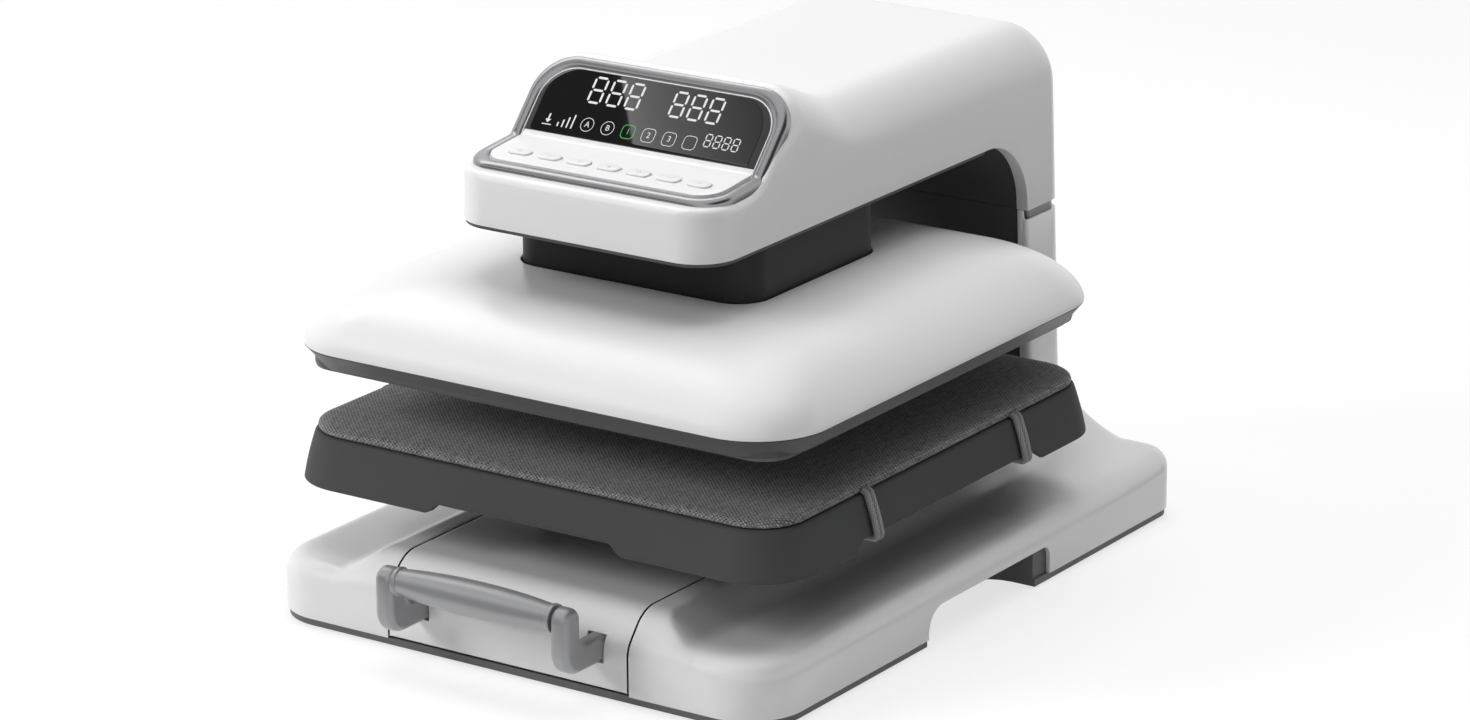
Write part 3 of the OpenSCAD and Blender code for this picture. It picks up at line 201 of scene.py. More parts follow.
class Mould:
    """Mesh under construction, in millimetres round the press axis."""

    def __init__(self) -> None:
        """Starts an empty mesh with a place for surface coordinates."""
        self.bm = bmesh.new()
        self.bm.loops.layers.uv.verify()

    def weld(self) -> None:
        """Merges points that lie on each other and drops faces without area."""
        bmesh.ops.remove_doubles(self.bm, verts=self.bm.verts[:], dist=WELD)
        bmesh.ops.dissolve_degenerate(self.bm, dist=WELD / 4, edges=self.bm.edges[:])

    def sheet(self, nu: int, nv: int, place: Callable[[int, int], Point],
              skip: Callable[[int, int], bool] | None = None) -> None:
        """Adds a grid, moves each of its points to its place and welds it.

        Args:
            nu, nv: Cells along and across.
            place: Gives the place of grid point (i, j).
            skip: Says which cells are left open.
        """
        made = bmesh.ops.create_grid(self.bm, x_segments=nu, y_segments=nv, size=0.5, calc_uvs=True)
        verts = made["verts"]
        gone = []
        if skip:
            for face in {f for v in verts for f in v.link_faces}:
                middle = face.calc_center_median()
                if skip(int((middle.x + 0.5) * nu), int((middle.y + 0.5) * nv)):
                    gone.append(face)
        for vert in verts:
            vert.co = place(round((vert.co.x + 0.5) * nu), round((vert.co.y + 0.5) * nv))
        if gone:
            bmesh.ops.delete(self.bm, geom=gone, context="FACES")
        self.weld()

    def rings(self, stack: Sequence[Sequence[Point]], caps: bool = False) -> None:
        """Adds a skin through closed rings.

        Args:
            stack: Rings of equal count.
            caps: Whether the open ends are filled.
        """
        count = len(stack[0])
        self.sheet(count, len(stack) - 1, lambda i, j: stack[j][i % count])
        if caps:
            self.fill()

    def fill(self, above: float | None = None) -> None:
        """Fills open edges, all of them or only those that lie above a height.

        Args:
            above: The height, or None for all edges.
        """
        rim = [e for e in self.bm.edges if e.is_boundary]
        if above is not None:
            rim = [e for e in rim if min(v.co.z for v in e.verts) > above]
        bmesh.ops.holes_fill(self.bm, edges=rim, sides=0)

    def lathe(self, profile: Sequence[Flat], place: Matrix, steps: int = 48) -> None:
        """Spins a profile of (radius, height) round the z axis of a place.

        Args:
            profile: Points of (radius, height).
            place: Where the axis stands.
            steps: Steps of a full turn.
        """
        verts = [self.bm.verts.new((r, 0, z)) for r, z in profile]
        edges = [self.bm.edges.new(pair) for pair in zip(verts, verts[1:])]
        made = bmesh.ops.spin(self.bm, geom=verts + edges, cent=(0, 0, 0), axis=(0, 0, 1), dvec=(0, 0, 0),
                              angle=math.tau, steps=steps, use_merge=True, use_duplicate=False)
        spun = {v for v in made["geom_last"] if isinstance(v, bmesh.types.BMVert)} | set(verts)
        reach = set(spun)
        while spun:
            spun = {e.other_vert(v) for v in spun for e in v.link_edges} - reach
            reach |= spun
        bmesh.ops.transform(self.bm, matrix=place, verts=list(reach))
        self.weld()

    def prism(self, outline: Sequence[Flat], low: float, high: float, place: Matrix,
              bevel: float = 0.0, segments: int = 3) -> None:
        """Extrudes an outline and rounds its edges.

        Args:
            outline: Points in the plane.
            low, high: Heights of its two faces over the plane.
            place: Where the plane lies.
            bevel: Width of the rounds.
            segments: Steps of the rounds.
        """
        verts = [self.bm.verts.new((x, y, low)) for x, y in outline]
        face = self.bm.faces.new(verts)
        made = bmesh.ops.extrude_face_region(self.bm, geom=[face])["geom"]
        top = [v for v in made if isinstance(v, bmesh.types.BMVert)]
        bmesh.ops.translate(self.bm, verts=top, vec=(0, 0, high - low))
        body = set(verts) | set(top)
        faces = list({f for v in body for f in v.link_faces})
        bmesh.ops.recalc_face_normals(self.bm, faces=faces)
        if bevel:
            ring = [e for e in {e for v in body for e in v.link_edges}
                    if abs(e.verts[0].co.z - e.verts[1].co.z) < WELD]
            made = bmesh.ops.bevel(self.bm, geom=ring, offset=bevel, segments=segments, profile=0.5,
                                   affect="EDGES", material=-1, clamp_overlap=True)
            body = {v for v in body if v.is_valid} | set(made["verts"])
        bmesh.ops.transform(self.bm, matrix=place, verts=list(body))

    def orient(self) -> None:
        """Turns all faces one way, outwards where the shell is closed."""
        bmesh.ops.recalc_face_normals(self.bm, faces=self.bm.faces[:])

    def face_out(self, inside: Point) -> None:
        """Turns an open skin so that its faces point away from a point inside it.

        Args:
            inside: The point.
        """
        heart = Vector(inside)
        self.orient()
        lean = sum(f.calc_area() * f.normal.dot(f.calc_center_median() - heart) for f in self.bm.faces)
        if lean < 0:
            bmesh.ops.reverse_faces(self.bm, faces=self.bm.faces[:])

    @classmethod
    def from_piece(cls, piece: bpy.types.Object) -> "Mould":
        """Takes the mesh back out of a piece and removes the piece.

        Args:
            piece: Piece to take apart.

        Returns:
            Its mesh.
        """
        made = cls()
        made.bm.from_mesh(piece.data)
        made.to_press_axis()
        bpy.data.meshes.remove(piece.data)
        return made

    def to_press_axis(self) -> None:
        """Takes points in metres and in the part's frame over to the mould's own coordinates."""
        bmesh.ops.scale(self.bm, vec=(1 / MM,) * 3, verts=self.bm.verts[:])
        bmesh.ops.translate(self.bm, vec=(0, -PRESS_Y, 0), verts=self.bm.verts[:])

    def carve(self, cutters: "Mould") -> None:
        """Cuts another closed mesh out of this one.

        Args:
            cutters: Mesh to cut away, which is used up.
        """
        tool = cutters.solid("cutter")
        work = self.solid("work")
        cut = work.modifiers.new("cut", "BOOLEAN")
        cut.object = tool
        cut.operation = "DIFFERENCE"
        cut.solver = "EXACT"
        settle(work)
        self.bm = Mould.from_piece(work).bm
        bpy.data.meshes.remove(tool.data)

    def solid(self, name: str) -> bpy.types.Object:
        """Makes an object of the mesh, in metres and in the part's frame.

        Args:
            name: Name of the object.

        Returns:
            The object; the mould is used up.
        """
        bmesh.ops.translate(self.bm, vec=(0, PRESS_Y, 0), verts=self.bm.verts[:])
        bmesh.ops.scale(self.bm, vec=(MM,) * 3, verts=self.bm.verts[:])
        mesh = bpy.data.meshes.new(name)
        self.bm.to_mesh(mesh)
        self.bm.free()
        made = bpy.data.objects.new(name, mesh)
        bpy.context.scene.collection.objects.link(made)
        return made


def settle(piece: bpy.types.Object) -> None:
    """Applies the modifiers of a piece to its mesh.

    Args:
        piece: Piece with modifiers.
    """
    graph = bpy.context.evaluated_depsgraph_get()
    graph.update()
    mesh = bpy.data.meshes.new_from_object(piece.evaluated_get(graph), depsgraph=graph)
    old = piece.data
    piece.modifiers.clear()
    piece.data = mesh
    bpy.data.meshes.remove(old)


@dataclass(frozen=True)
class Wall:
    """Thickness and edges that finish a moulded skin.

    thickness is the wall behind the skin, edge the width of the rounds on sharp edges, and sharp the
    angle in degrees past which an edge shows.
    """

    thickness: float = 0.0
    edge: float = 0.0
    segments: int = 3
    sharp: float = 40.0
    even: bool = True

    def apply(self, piece: bpy.types.Object) -> None:
        """Thickens and rounds a piece and smooths its shading.

        Args:
            piece: Piece to finish.
        """
        if self.thickness:
            solid = piece.modifiers.new("wall", "SOLIDIFY")
            solid.thickness = self.thickness * MM
            solid.offset = -1.0
            solid.use_even_offset = self.even
            solid.use_quality_normals = True
        if self.edge:
            bevel = piece.modifiers.new("edges", "BEVEL")
            bevel.width = self.edge * MM
            bevel.segments = self.segments
            bevel.limit_method = "ANGLE"
            bevel.angle_limit = math.radians(self.sharp)
        settle(piece)
        mesh = piece.data
        mesh.polygons.foreach_set("use_smooth", [True] * len(mesh.polygons))
        mesh.set_sharp_from_angle(angle=math.radians(self.sharp))


@dataclass(frozen=True)
class Seat:
    """Where a finished piece belongs: its body, its record slot and the CAD nodes it stands for."""

    body: str
    slot: Slot
    nodes: tuple[str, ...] = ()

    def take(self, mould: Mould, name: str, finishes: Sequence["Finish"], wall: Wall) -> bpy.types.Object:
        """Finishes a mould as a piece of the part.

        Args:
            mould: Mesh to finish.
            name: Name of the piece.
            finishes: Finishes, in the order of the mesh's material numbers.
            wall: Thickness and edges.

        Returns:
            The piece, riding on its body.
        """
        piece = mould.solid(name)
        wall.apply(piece)
        for finish in finishes:
            piece.data.materials.append(finish.material())
        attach(piece, self.body)
        if self.nodes:
            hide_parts(*self.nodes)
        log.info("%s: %d faces on %s", name, len(piece.data.polygons), self.body)
        return piece


class Graph:
    """Short hand for wiring the shader nodes of one tree."""

    def __init__(self, tree: Tree) -> None:
        """Takes the tree to wire."""
        self.tree = tree

    def node(self, kind: str, sockets: dict | None = None, **settings: object) -> Node:
        """Adds a node.

        Args:
            kind: Node type.
            sockets: Values or sockets for its inputs, by name or number.
            settings: Values of the node itself.

        Returns:
            The node.
        """
        made = self.tree.nodes.new(kind)
        for key, value in settings.items():
            setattr(made, key, value)
        self.feed(made, sockets or {})
        return made

    def feed(self, node: Node, sockets: dict) -> None:
        """Sets or links inputs of a node.

        Args:
            node: The node.
            sockets: Values or sockets for its inputs, by name or number.
        """
        for key, value in sockets.items():
            if isinstance(value, Socket):
                self.tree.links.new(value, node.inputs[key])
            else:
                node.inputs[key].default_value = value

    def math(self, how: str, a: object, b: object = 0.0) -> Socket:
        """Adds a calculation with one or two values and gives its result."""
        return self.node("ShaderNodeMath", {0: a, 1: b}, operation=how).outputs[0]

    def blend(self, how: str, factor: object, a: object, b: object) -> Socket:
        """Adds a mix of two colours and gives its result."""
        made = self.node("ShaderNodeMix", {0: factor, 6: a, 7: b}, data_type="RGBA", blend_type=how)
        return made.outputs[2]

    def range(self, value: object, low: float, high: float) -> Socket:
        """Spreads a value from 0 to 1 over a new range."""
        return self.node("ShaderNodeMapRange", {0: value, 3: low, 4: high}).outputs[0]

    def dress(self, sockets: dict) -> None:
        """Feeds the shader of a material's tree."""
        self.feed(self.tree.nodes["Principled BSDF"], sockets)

    def seen(self) -> Socket:
        """Gives 1 to rays of the camera, of reflections and through glass, and 0 to all others.

        Returns:
            The socket that says so.
        """
        rays = self.node("ShaderNodeLightPath").outputs
        seen = self.math("MAXIMUM", rays["Is Camera Ray"], rays["Is Glossy Ray"])
        return self.math("MAXIMUM", seen, rays["Is Transmission Ray"])


def grey(tone: float) -> tuple[float, float, float, float]:
    """Opaque colour of a grey tone."""
    return (tone, tone, tone, 1.0)


def new_material(name: str) -> tuple[bpy.types.Material, Graph]:
    """Makes a material.

    Args:
        name: Its name.

    Returns:
        The material and its tree to wire.
    """
    made = bpy.data.materials.new(name)
    made.use_nodes = True
    return made, Graph(made.node_tree)


class Effect(Enum):
    """Surface effects that several finishes share."""

    GRAIN = "moulded_grain"
    STREAKS = "drawn_streaks"
    WEAVE = "plain_weave"
    BRAID = "braided_sleeve"

    def group(self) -> Tree:
        """Gives the effect's node group, built once.

        Returns:
            The group.
        """
        tree = bpy.data.node_groups.get(self.value)
        if tree:
            return tree
        tree = bpy.data.node_groups.new(self.value, "ShaderNodeTree")
        {Effect.GRAIN: self._grain, Effect.STREAKS: self._streaks, Effect.WEAVE: self._weave,
         Effect.BRAID: self._braid}[self](tree)
        return tree

    @staticmethod
    def _ends(tree: Tree, takes: dict[str, float], gives: Sequence[str]) -> tuple:
        """Makes the named inputs and outputs of a group.

        Args:
            tree: Tree of the group.
            takes: Inputs and their defaults.
            gives: Names of the outputs.

        Returns:
            Input node and output node.
        """
        for name, value in takes.items():
            socket = tree.interface.new_socket(name, in_out="INPUT", socket_type="NodeSocketFloat")
            socket.default_value = value
        for name in gives:
            tree.interface.new_socket(name, in_out="OUTPUT", socket_type="NodeSocketFloat")
        return tree.nodes.new("NodeGroupInput"), tree.nodes.new("NodeGroupOutput")

    def _grain(self, tree: Tree) -> None:
        """Fine grain of a moulded or coated skin, and a slow drift of its shade.

        Args:
            tree: Tree to fill.
        """
        g = Graph(tree)
        scales = {"Grains per metre": 1500.0, "Drifts per metre": 6.0}
        takes, gives = self._ends(tree, scales, ("Height", "Drift"))
        spot = g.node("ShaderNodeTexCoord").outputs["Object"]
        fine = g.node("ShaderNodeTexNoise", {"Vector": spot, "Scale": takes.outputs[0], "Detail": 3.0})
        slow = g.node("ShaderNodeTexNoise", {"Vector": spot, "Scale": takes.outputs[1], "Detail": 2.0})
        g.feed(gives, {"Height": fine.outputs[0], "Drift": slow.outputs[0]})

    def _streaks(self, tree: Tree) -> None:
        """Fine lines of drawn or brushed metal along x, and a slow drift of its shade.

        Args:
            tree: Tree to fill.
        """
        g = Graph(tree)
        takes, gives = self._ends(tree, {"Lines per metre": 3000.0}, ("Height", "Drift"))
        spot = g.node("ShaderNodeTexCoord").outputs["Object"]
        split = g.node("ShaderNodeSeparateXYZ", {0: spot})
        across = g.math("MULTIPLY", takes.outputs[0], split.outputs[1])
        up = g.math("MULTIPLY", takes.outputs[0], split.outputs[2])
        stretch, drifts = 12.0, 9.0
        along = g.math("MULTIPLY", split.outputs[0], stretch)
        place = g.node("ShaderNodeCombineXYZ", {0: along, 1: across, 2: up}).outputs[0]
        lines = g.node("ShaderNodeTexNoise", {"Vector": place, "Scale": 1.0, "Detail": 2.0})
        slow = g.node("ShaderNodeTexNoise", {"Vector": spot, "Scale": drifts, "Detail": 2.0})
        g.feed(gives, {"Height": lines.outputs[0], "Drift": slow.outputs[0]})

    def _weave(self, tree: Tree) -> None:
        """Plain weave of mottled yarn, seen from above, with a rib along y.

        Args:
            tree: Tree to fill.
        """
        g = Graph(tree)
        takes, gives = self._ends(tree, {"Threads per metre": 900.0}, ("Height", "Yarn", "Rib", "Over"))
        spot = g.node("ShaderNodeTexCoord").outputs["Object"]
        split = g.node("ShaderNodeSeparateXYZ", {0: spot})
        side = g.math("ADD", split.outputs[1], split.outputs[2])
        x = g.math("MULTIPLY", split.outputs[0], takes.outputs[0])
        y = g.math("MULTIPLY", side, takes.outputs[0])
        shift, rib_run = 4000.0, 0.2
        cells = [g.math("FLOOR", v) for v in (x, y)]
        over = g.math("MODULO", g.math("ADD", g.math("ADD", *cells), shift), 2.0)
        humps = [g.math("ABSOLUTE", g.math("SINE", g.math("MULTIPLY", v, math.pi))) for v in (x, y)]
        warp = g.math("MULTIPLY", humps[0], over)
        weft = g.math("MULTIPLY", humps[1], g.math("SUBTRACT", 1.0, over))
        height = g.math("ADD", warp, weft)
        place = g.node("ShaderNodeCombineXYZ", {0: cells[0], 1: cells[1], 2: over}).outputs[0]
        yarn = g.node("ShaderNodeTexWhiteNoise", {"Vector": place}).outputs[0]
        long_cell = g.math("FLOOR", g.math("MULTIPLY", cells[1], rib_run))
        stripe = g.node("ShaderNodeCombineXYZ", {0: cells[0], 1: long_cell}).outputs[0]
        rib = g.node("ShaderNodeTexWhiteNoise", {"Vector": stripe}).outputs[0]
        g.feed(gives, {"Height": height, "Yarn": yarn, "Rib": rib, "Over": over})

    def _braid(self, tree: Tree) -> None:
        """Two sets of strands that cross round a cord, on its own coordinates.

        Args:
            tree: Tree to fill.
        """
        g = Graph(tree)
        takes, gives = self._ends(tree, {"Strands": 6.0, "Crossings": 40.0}, ("Height", "Strand"))
        split = g.node("ShaderNodeSeparateXYZ", {0: g.node("ShaderNodeUVMap").outputs[0]})
        turn = g.math("MULTIPLY", split.outputs[0], takes.outputs[0])
        run = g.math("MULTIPLY", split.outputs[1], takes.outputs[1])
        bands = []
        for how in ("ADD", "SUBTRACT"):
            phase = g.math("MULTIPLY", g.math(how, turn, run), math.tau)
            bands.append(g.math("SINE", phase))
        height = g.math("MAXIMUM", *bands)
        strand = g.math("GREATER_THAN", *bands)
        g.feed(gives, {"Height": height, "Strand": strand})


@dataclass(frozen=True)
class Finish:
    """Finish of a surface: a name and a colour, written as linear light."""

    name: str
    colour: Point = (0.8, 0.8, 0.8)
    roughness: float = 0.4
    bump: float = 0.1
    depth: float = 0.02
    drift: float = 0.03

    def material(self) -> bpy.types.Material:
        """Gives the finish's material, built once.

        Returns:
            The material.
        """
        made = bpy.data.materials.get(self.name)
        if made:
            return made
        made, graph = new_material(self.name)
        self.lay(graph)
        made.diffuse_color = (*self.colour, 1.0)
        return made

    def lay(self, graph: Graph) -> None:
        """Wires the finish; each kind of finish has its own way."""
        raise NotImplementedError

    def toned(self, graph: Graph, drift: object, low: float) -> Socket:
        """Gives the colour, darkened by a drift down to a share of itself.

        Args:
            graph: Tree of the material.
            drift: Value from 0 to 1.
            low: Share of the colour where the drift is 0.

        Returns:
            The colour.
        """
        shade = graph.range(drift, low, 1.0)
        tone = graph.node("ShaderNodeCombineColor", {0: shade, 1: shade, 2: shade}).outputs[0]
        return graph.blend("MULTIPLY", 1.0, (*self.colour, 1.0), tone)

    def paint(self, graph: Graph, colour: object, height: object) -> None:
        """Links a colour and a relief to the shader.

        Args:
            graph: Tree of the material.
            colour: Colour.
            height: Relief.
        """
        relief = graph.node("ShaderNodeBump", {"Strength": self.bump, "Distance": self.depth * MM,
                                               "Height": height})
        graph.dress({"Base Color": colour, "Normal": relief.outputs[0]})

    def vary(self, graph: Graph, drift: object, height: object) -> None:
        """Lets shade, gloss and relief change a little over the surface.

        Args:
            graph: Tree of the material.
            drift: Value from 0 to 1 that changes slowly.
            height: Relief.
        """
        gloss = graph.range(drift, self.roughness * (1 - GLOSS_DRIFT), self.roughness * (1 + GLOSS_DRIFT))
        graph.dress({"Roughness": gloss})
        self.paint(graph, self.toned(graph, drift, 1.0 - self.drift), height)


@dataclass(frozen=True)
class Moulding(Finish):
    """Moulded plastic, rubber or a sprayed coat, with a fine grain."""

    grains: float = 1500.0
    coat: float = 0.0
    specular: float = 0.5
    coat_roughness: float = 0.25

    def lay(self, graph: Graph) -> None:
        """Wires the grain to shade, gloss and relief.

        Args:
            graph: Tree of the material.
        """
        skin = graph.node("ShaderNodeGroup", {0: self.grains}, node_tree=Effect.GRAIN.group())
        graph.dress({"Coat Weight": self.coat, "Coat Roughness": self.coat_roughness,
                     "Specular IOR Level": self.specular})
        self.vary(graph, skin.outputs["Drift"], skin.outputs["Height"])


@dataclass(frozen=True)
class Metal(Finish):
    """Bare or satin metal, cast or drawn."""

    lines: float = 0.0
    metallic: float = 1.0
    cast_grains: float = 1800.0

    def lay(self, graph: Graph) -> None:
        """Wires drawn lines, or a cast grain where there are none.

        Args:
            graph: Tree of the material.
        """
        kind = Effect.STREAKS if self.lines else Effect.GRAIN
        skin = graph.node("ShaderNodeGroup", {0: self.lines or self.cast_grains}, node_tree=kind.group())
        graph.dress({"Metallic": self.metallic})
        self.vary(graph, skin.outputs["Drift"], skin.outputs["Height"])


@dataclass(frozen=True)
class Woven(Finish):
    """Mottled plain weave of the pad cover."""

    light: Point = (0.2, 0.2, 0.205)
    threads: float = 900.0
    over_share: float = 0.45
    yarn_share: float = 0.35
    rib_share: float = 0.2
    valley: float = 0.25
    sheen: float = 0.25
    sheen_roughness: float = 0.5

    def lay(self, graph: Graph) -> None:
        """Mixes dark and light yarn, paints shade into the valleys between threads and lifts the threads.

        Args:
            graph: Tree of the material.
        """
        cloth = graph.node("ShaderNodeGroup", {0: self.threads}, node_tree=Effect.WEAVE.group())
        shares = {"Over": self.over_share, "Yarn": self.yarn_share, "Rib": self.rib_share}
        parts = [graph.math("MULTIPLY", cloth.outputs[name], share) for name, share in shares.items()]
        mix = graph.math("ADD", graph.math("ADD", parts[0], parts[1]), parts[2])
        # Darker in the valleys between threads: painted shade, laid over the yarn pattern.
        light_share_with_painted_shade = graph.math("MULTIPLY", mix, graph.range(cloth.outputs["Height"], self.valley, 1.0))
        colour = graph.blend("MIX", light_share_with_painted_shade, (*self.colour, 1.0), (*self.light, 1.0))
        self.paint(graph, colour, cloth.outputs["Height"])
        graph.dress({"Roughness": self.roughness, "Sheen Weight": self.sheen,
                     "Sheen Roughness": self.sheen_roughness})


@dataclass(frozen=True)
class Braided(Finish):
    """Braided sleeve of the elastic cords."""

    light: Point = (0.3, 0.3, 0.31)
    strands: float = 6.0
    crossings: float = 26.0
    valley: float = 0.3
    under: float = 0.7

    def lay(self, graph: Graph) -> None:
        """Darkens the valleys between strands as painted shade and one set of strands a little, and lifts
        the strands.

        Args:
            graph: Tree of the material.
        """
        counts = {0: self.strands, 1: self.crossings}
        sleeve = graph.node("ShaderNodeGroup", counts, node_tree=Effect.BRAID.group())
        # Darker in the valleys between strands: painted shade; one strand set is also a little darker.
        light_share_with_painted_shade = graph.math("MULTIPLY", graph.range(sleeve.outputs["Height"], self.valley, 1.0),
                          graph.range(sleeve.outputs["Strand"], self.under, 1.0))
        colour = graph.blend("MIX", light_share_with_painted_shade, (*self.colour, 1.0), (*self.light, 1.0))
        self.paint(graph, colour, sleeve.outputs["Height"])
        graph.dress({"Roughness": self.roughness})


@dataclass(frozen=True)
class Ink(Finish):
    """Printed or lit marks."""

    glow: float = 0.0
    grains: float = 4000.0
    glow_low: float = 0.94

    def lay(self, graph: Graph) -> None:
        """Wires a faint print grain and, on lit marks, the glow.

        Args:
            graph: Tree of the material.
        """
        skin = graph.node("ShaderNodeGroup", {0: self.grains}, node_tree=Effect.GRAIN.group())
        self.vary(graph, skin.outputs["Drift"], skin.outputs["Height"])
        if self.glow:
            lit = self.toned(graph, skin.outputs["Drift"], self.glow_low)
            graph.dress({"Emission Color": lit, "Emission Strength": self.glow})


WHITE = Moulding("white_moulding", (0.84, 0.84, 0.845), 0.3, 0.06, 0.02, 0.015, 1400.0, 0.25)
KEY = Moulding("key_moulding", (0.8, 0.8, 0.805), 0.35, 0.06, 0.02, 0.015, 1800.0, 0.1)
# Charcoal of the neck sleeve, also used as a painted shadow on the walls of the drawer gaps.
CHARCOAL = Moulding("charcoal_and_gap_shade", (0.016, 0.016, 0.017), 0.5, 0.25, 0.05, 0.1, 1200.0, 0.0, 0.3)
PAN = Moulding("pan_moulding", (0.13, 0.13, 0.134), 0.5, 0.25, 0.05, 0.1, 1200.0, 0.0, 0.4)
SKIRT = Moulding("skirt_moulding", (0.075, 0.076, 0.079), 0.45, 0.2, 0.05, 0.08, 1200.0)
TRAY = Moulding("tray_satin", (0.088, 0.0885, 0.091), 0.55, 0.35, 0.08, 0.08, 900.0, 0.0, 0.03)
SEAM = Moulding("seam_moulding", (0.36, 0.36, 0.37), 0.5, 0.15, 0.04, 0.06, 1200.0)
BLACK = Moulding("black_moulding", (0.012, 0.012, 0.013), 0.38, 0.2, 0.04, 0.15, 1300.0)
RUBBER = Moulding("soft_rubber", (0.02, 0.02, 0.02), 0.7, 0.4, 0.08, 0.2, 800.0)
SILICONE = Moulding("pad_silicone", (0.11, 0.05, 0.035), 0.6, 0.3, 0.1, 0.15, 600.0)
GLASS = Moulding("display_window", (0.014, 0.014, 0.015), 0.02, 0.005, 0.005, 0.2, 2500.0)
HANDLE = Metal("handle_satin", (0.36, 0.362, 0.37), 0.4, 0.2, 0.03, 0.06, 0.0, 0.55)
BEZEL = Metal("bezel_satin", (0.33, 0.33, 0.34), 0.28, 0.1, 0.015, 0.05, 5200.0)
RIM = Moulding("bezel_edge", (0.78, 0.78, 0.79), 0.25, 0.04, 0.01, 0.02, 2500.0)
STEEL = Metal("drawn_steel", (0.52, 0.53, 0.55), 0.34, 0.2, 0.02, 0.1, 2600.0)
ZINC = Metal("zinc_plate", (0.6, 0.61, 0.63), 0.42, 0.2, 0.03, 0.15)
BRASS = Metal("turned_brass", (0.62, 0.43, 0.17), 0.32, 0.2, 0.02, 0.1, 3600.0)
HOT_PLATE = Metal("coated_plate", (0.16, 0.16, 0.165), 0.48, 0.35, 0.05, 0.1, 0.0, 0.6)
PAINT = Moulding("frame_enamel", (0.045, 0.046, 0.05), 0.45, 0.4, 0.08, 0.1, 700.0)
BOARD = Moulding("circuit_board", (0.01, 0.09, 0.035), 0.35, 0.3, 0.05, 0.25, 420.0)
FIBRE = Moulding("fibre_board", (0.62, 0.57, 0.46), 0.85, 0.6, 0.2, 0.2, 380.0)
CLOTH = Woven("pad_weave", (0.025, 0.025, 0.026), 0.85, 0.8, 0.35, 0.03, (0.5, 0.5, 0.51), 640.0)
ELASTIC = Braided("elastic_braid", (0.13, 0.13, 0.134), 0.75, 0.5, 0.2, 0.03, (0.42, 0.42, 0.43), 9.0, 60.0)
MARK = Ink("key_print", (0.42, 0.42, 0.43), 0.5, 0.02, 0.005, 0.08)
LIT = Ink("lit_white", (0.4, 0.405, 0.41), 0.4, 0.02, 0.005, 0.05, 1.0)
LIT_GREEN = Ink("lit_green", (0.05, 0.3, 0.06), 0.4, 0.02, 0.005, 0.05, 1.0)


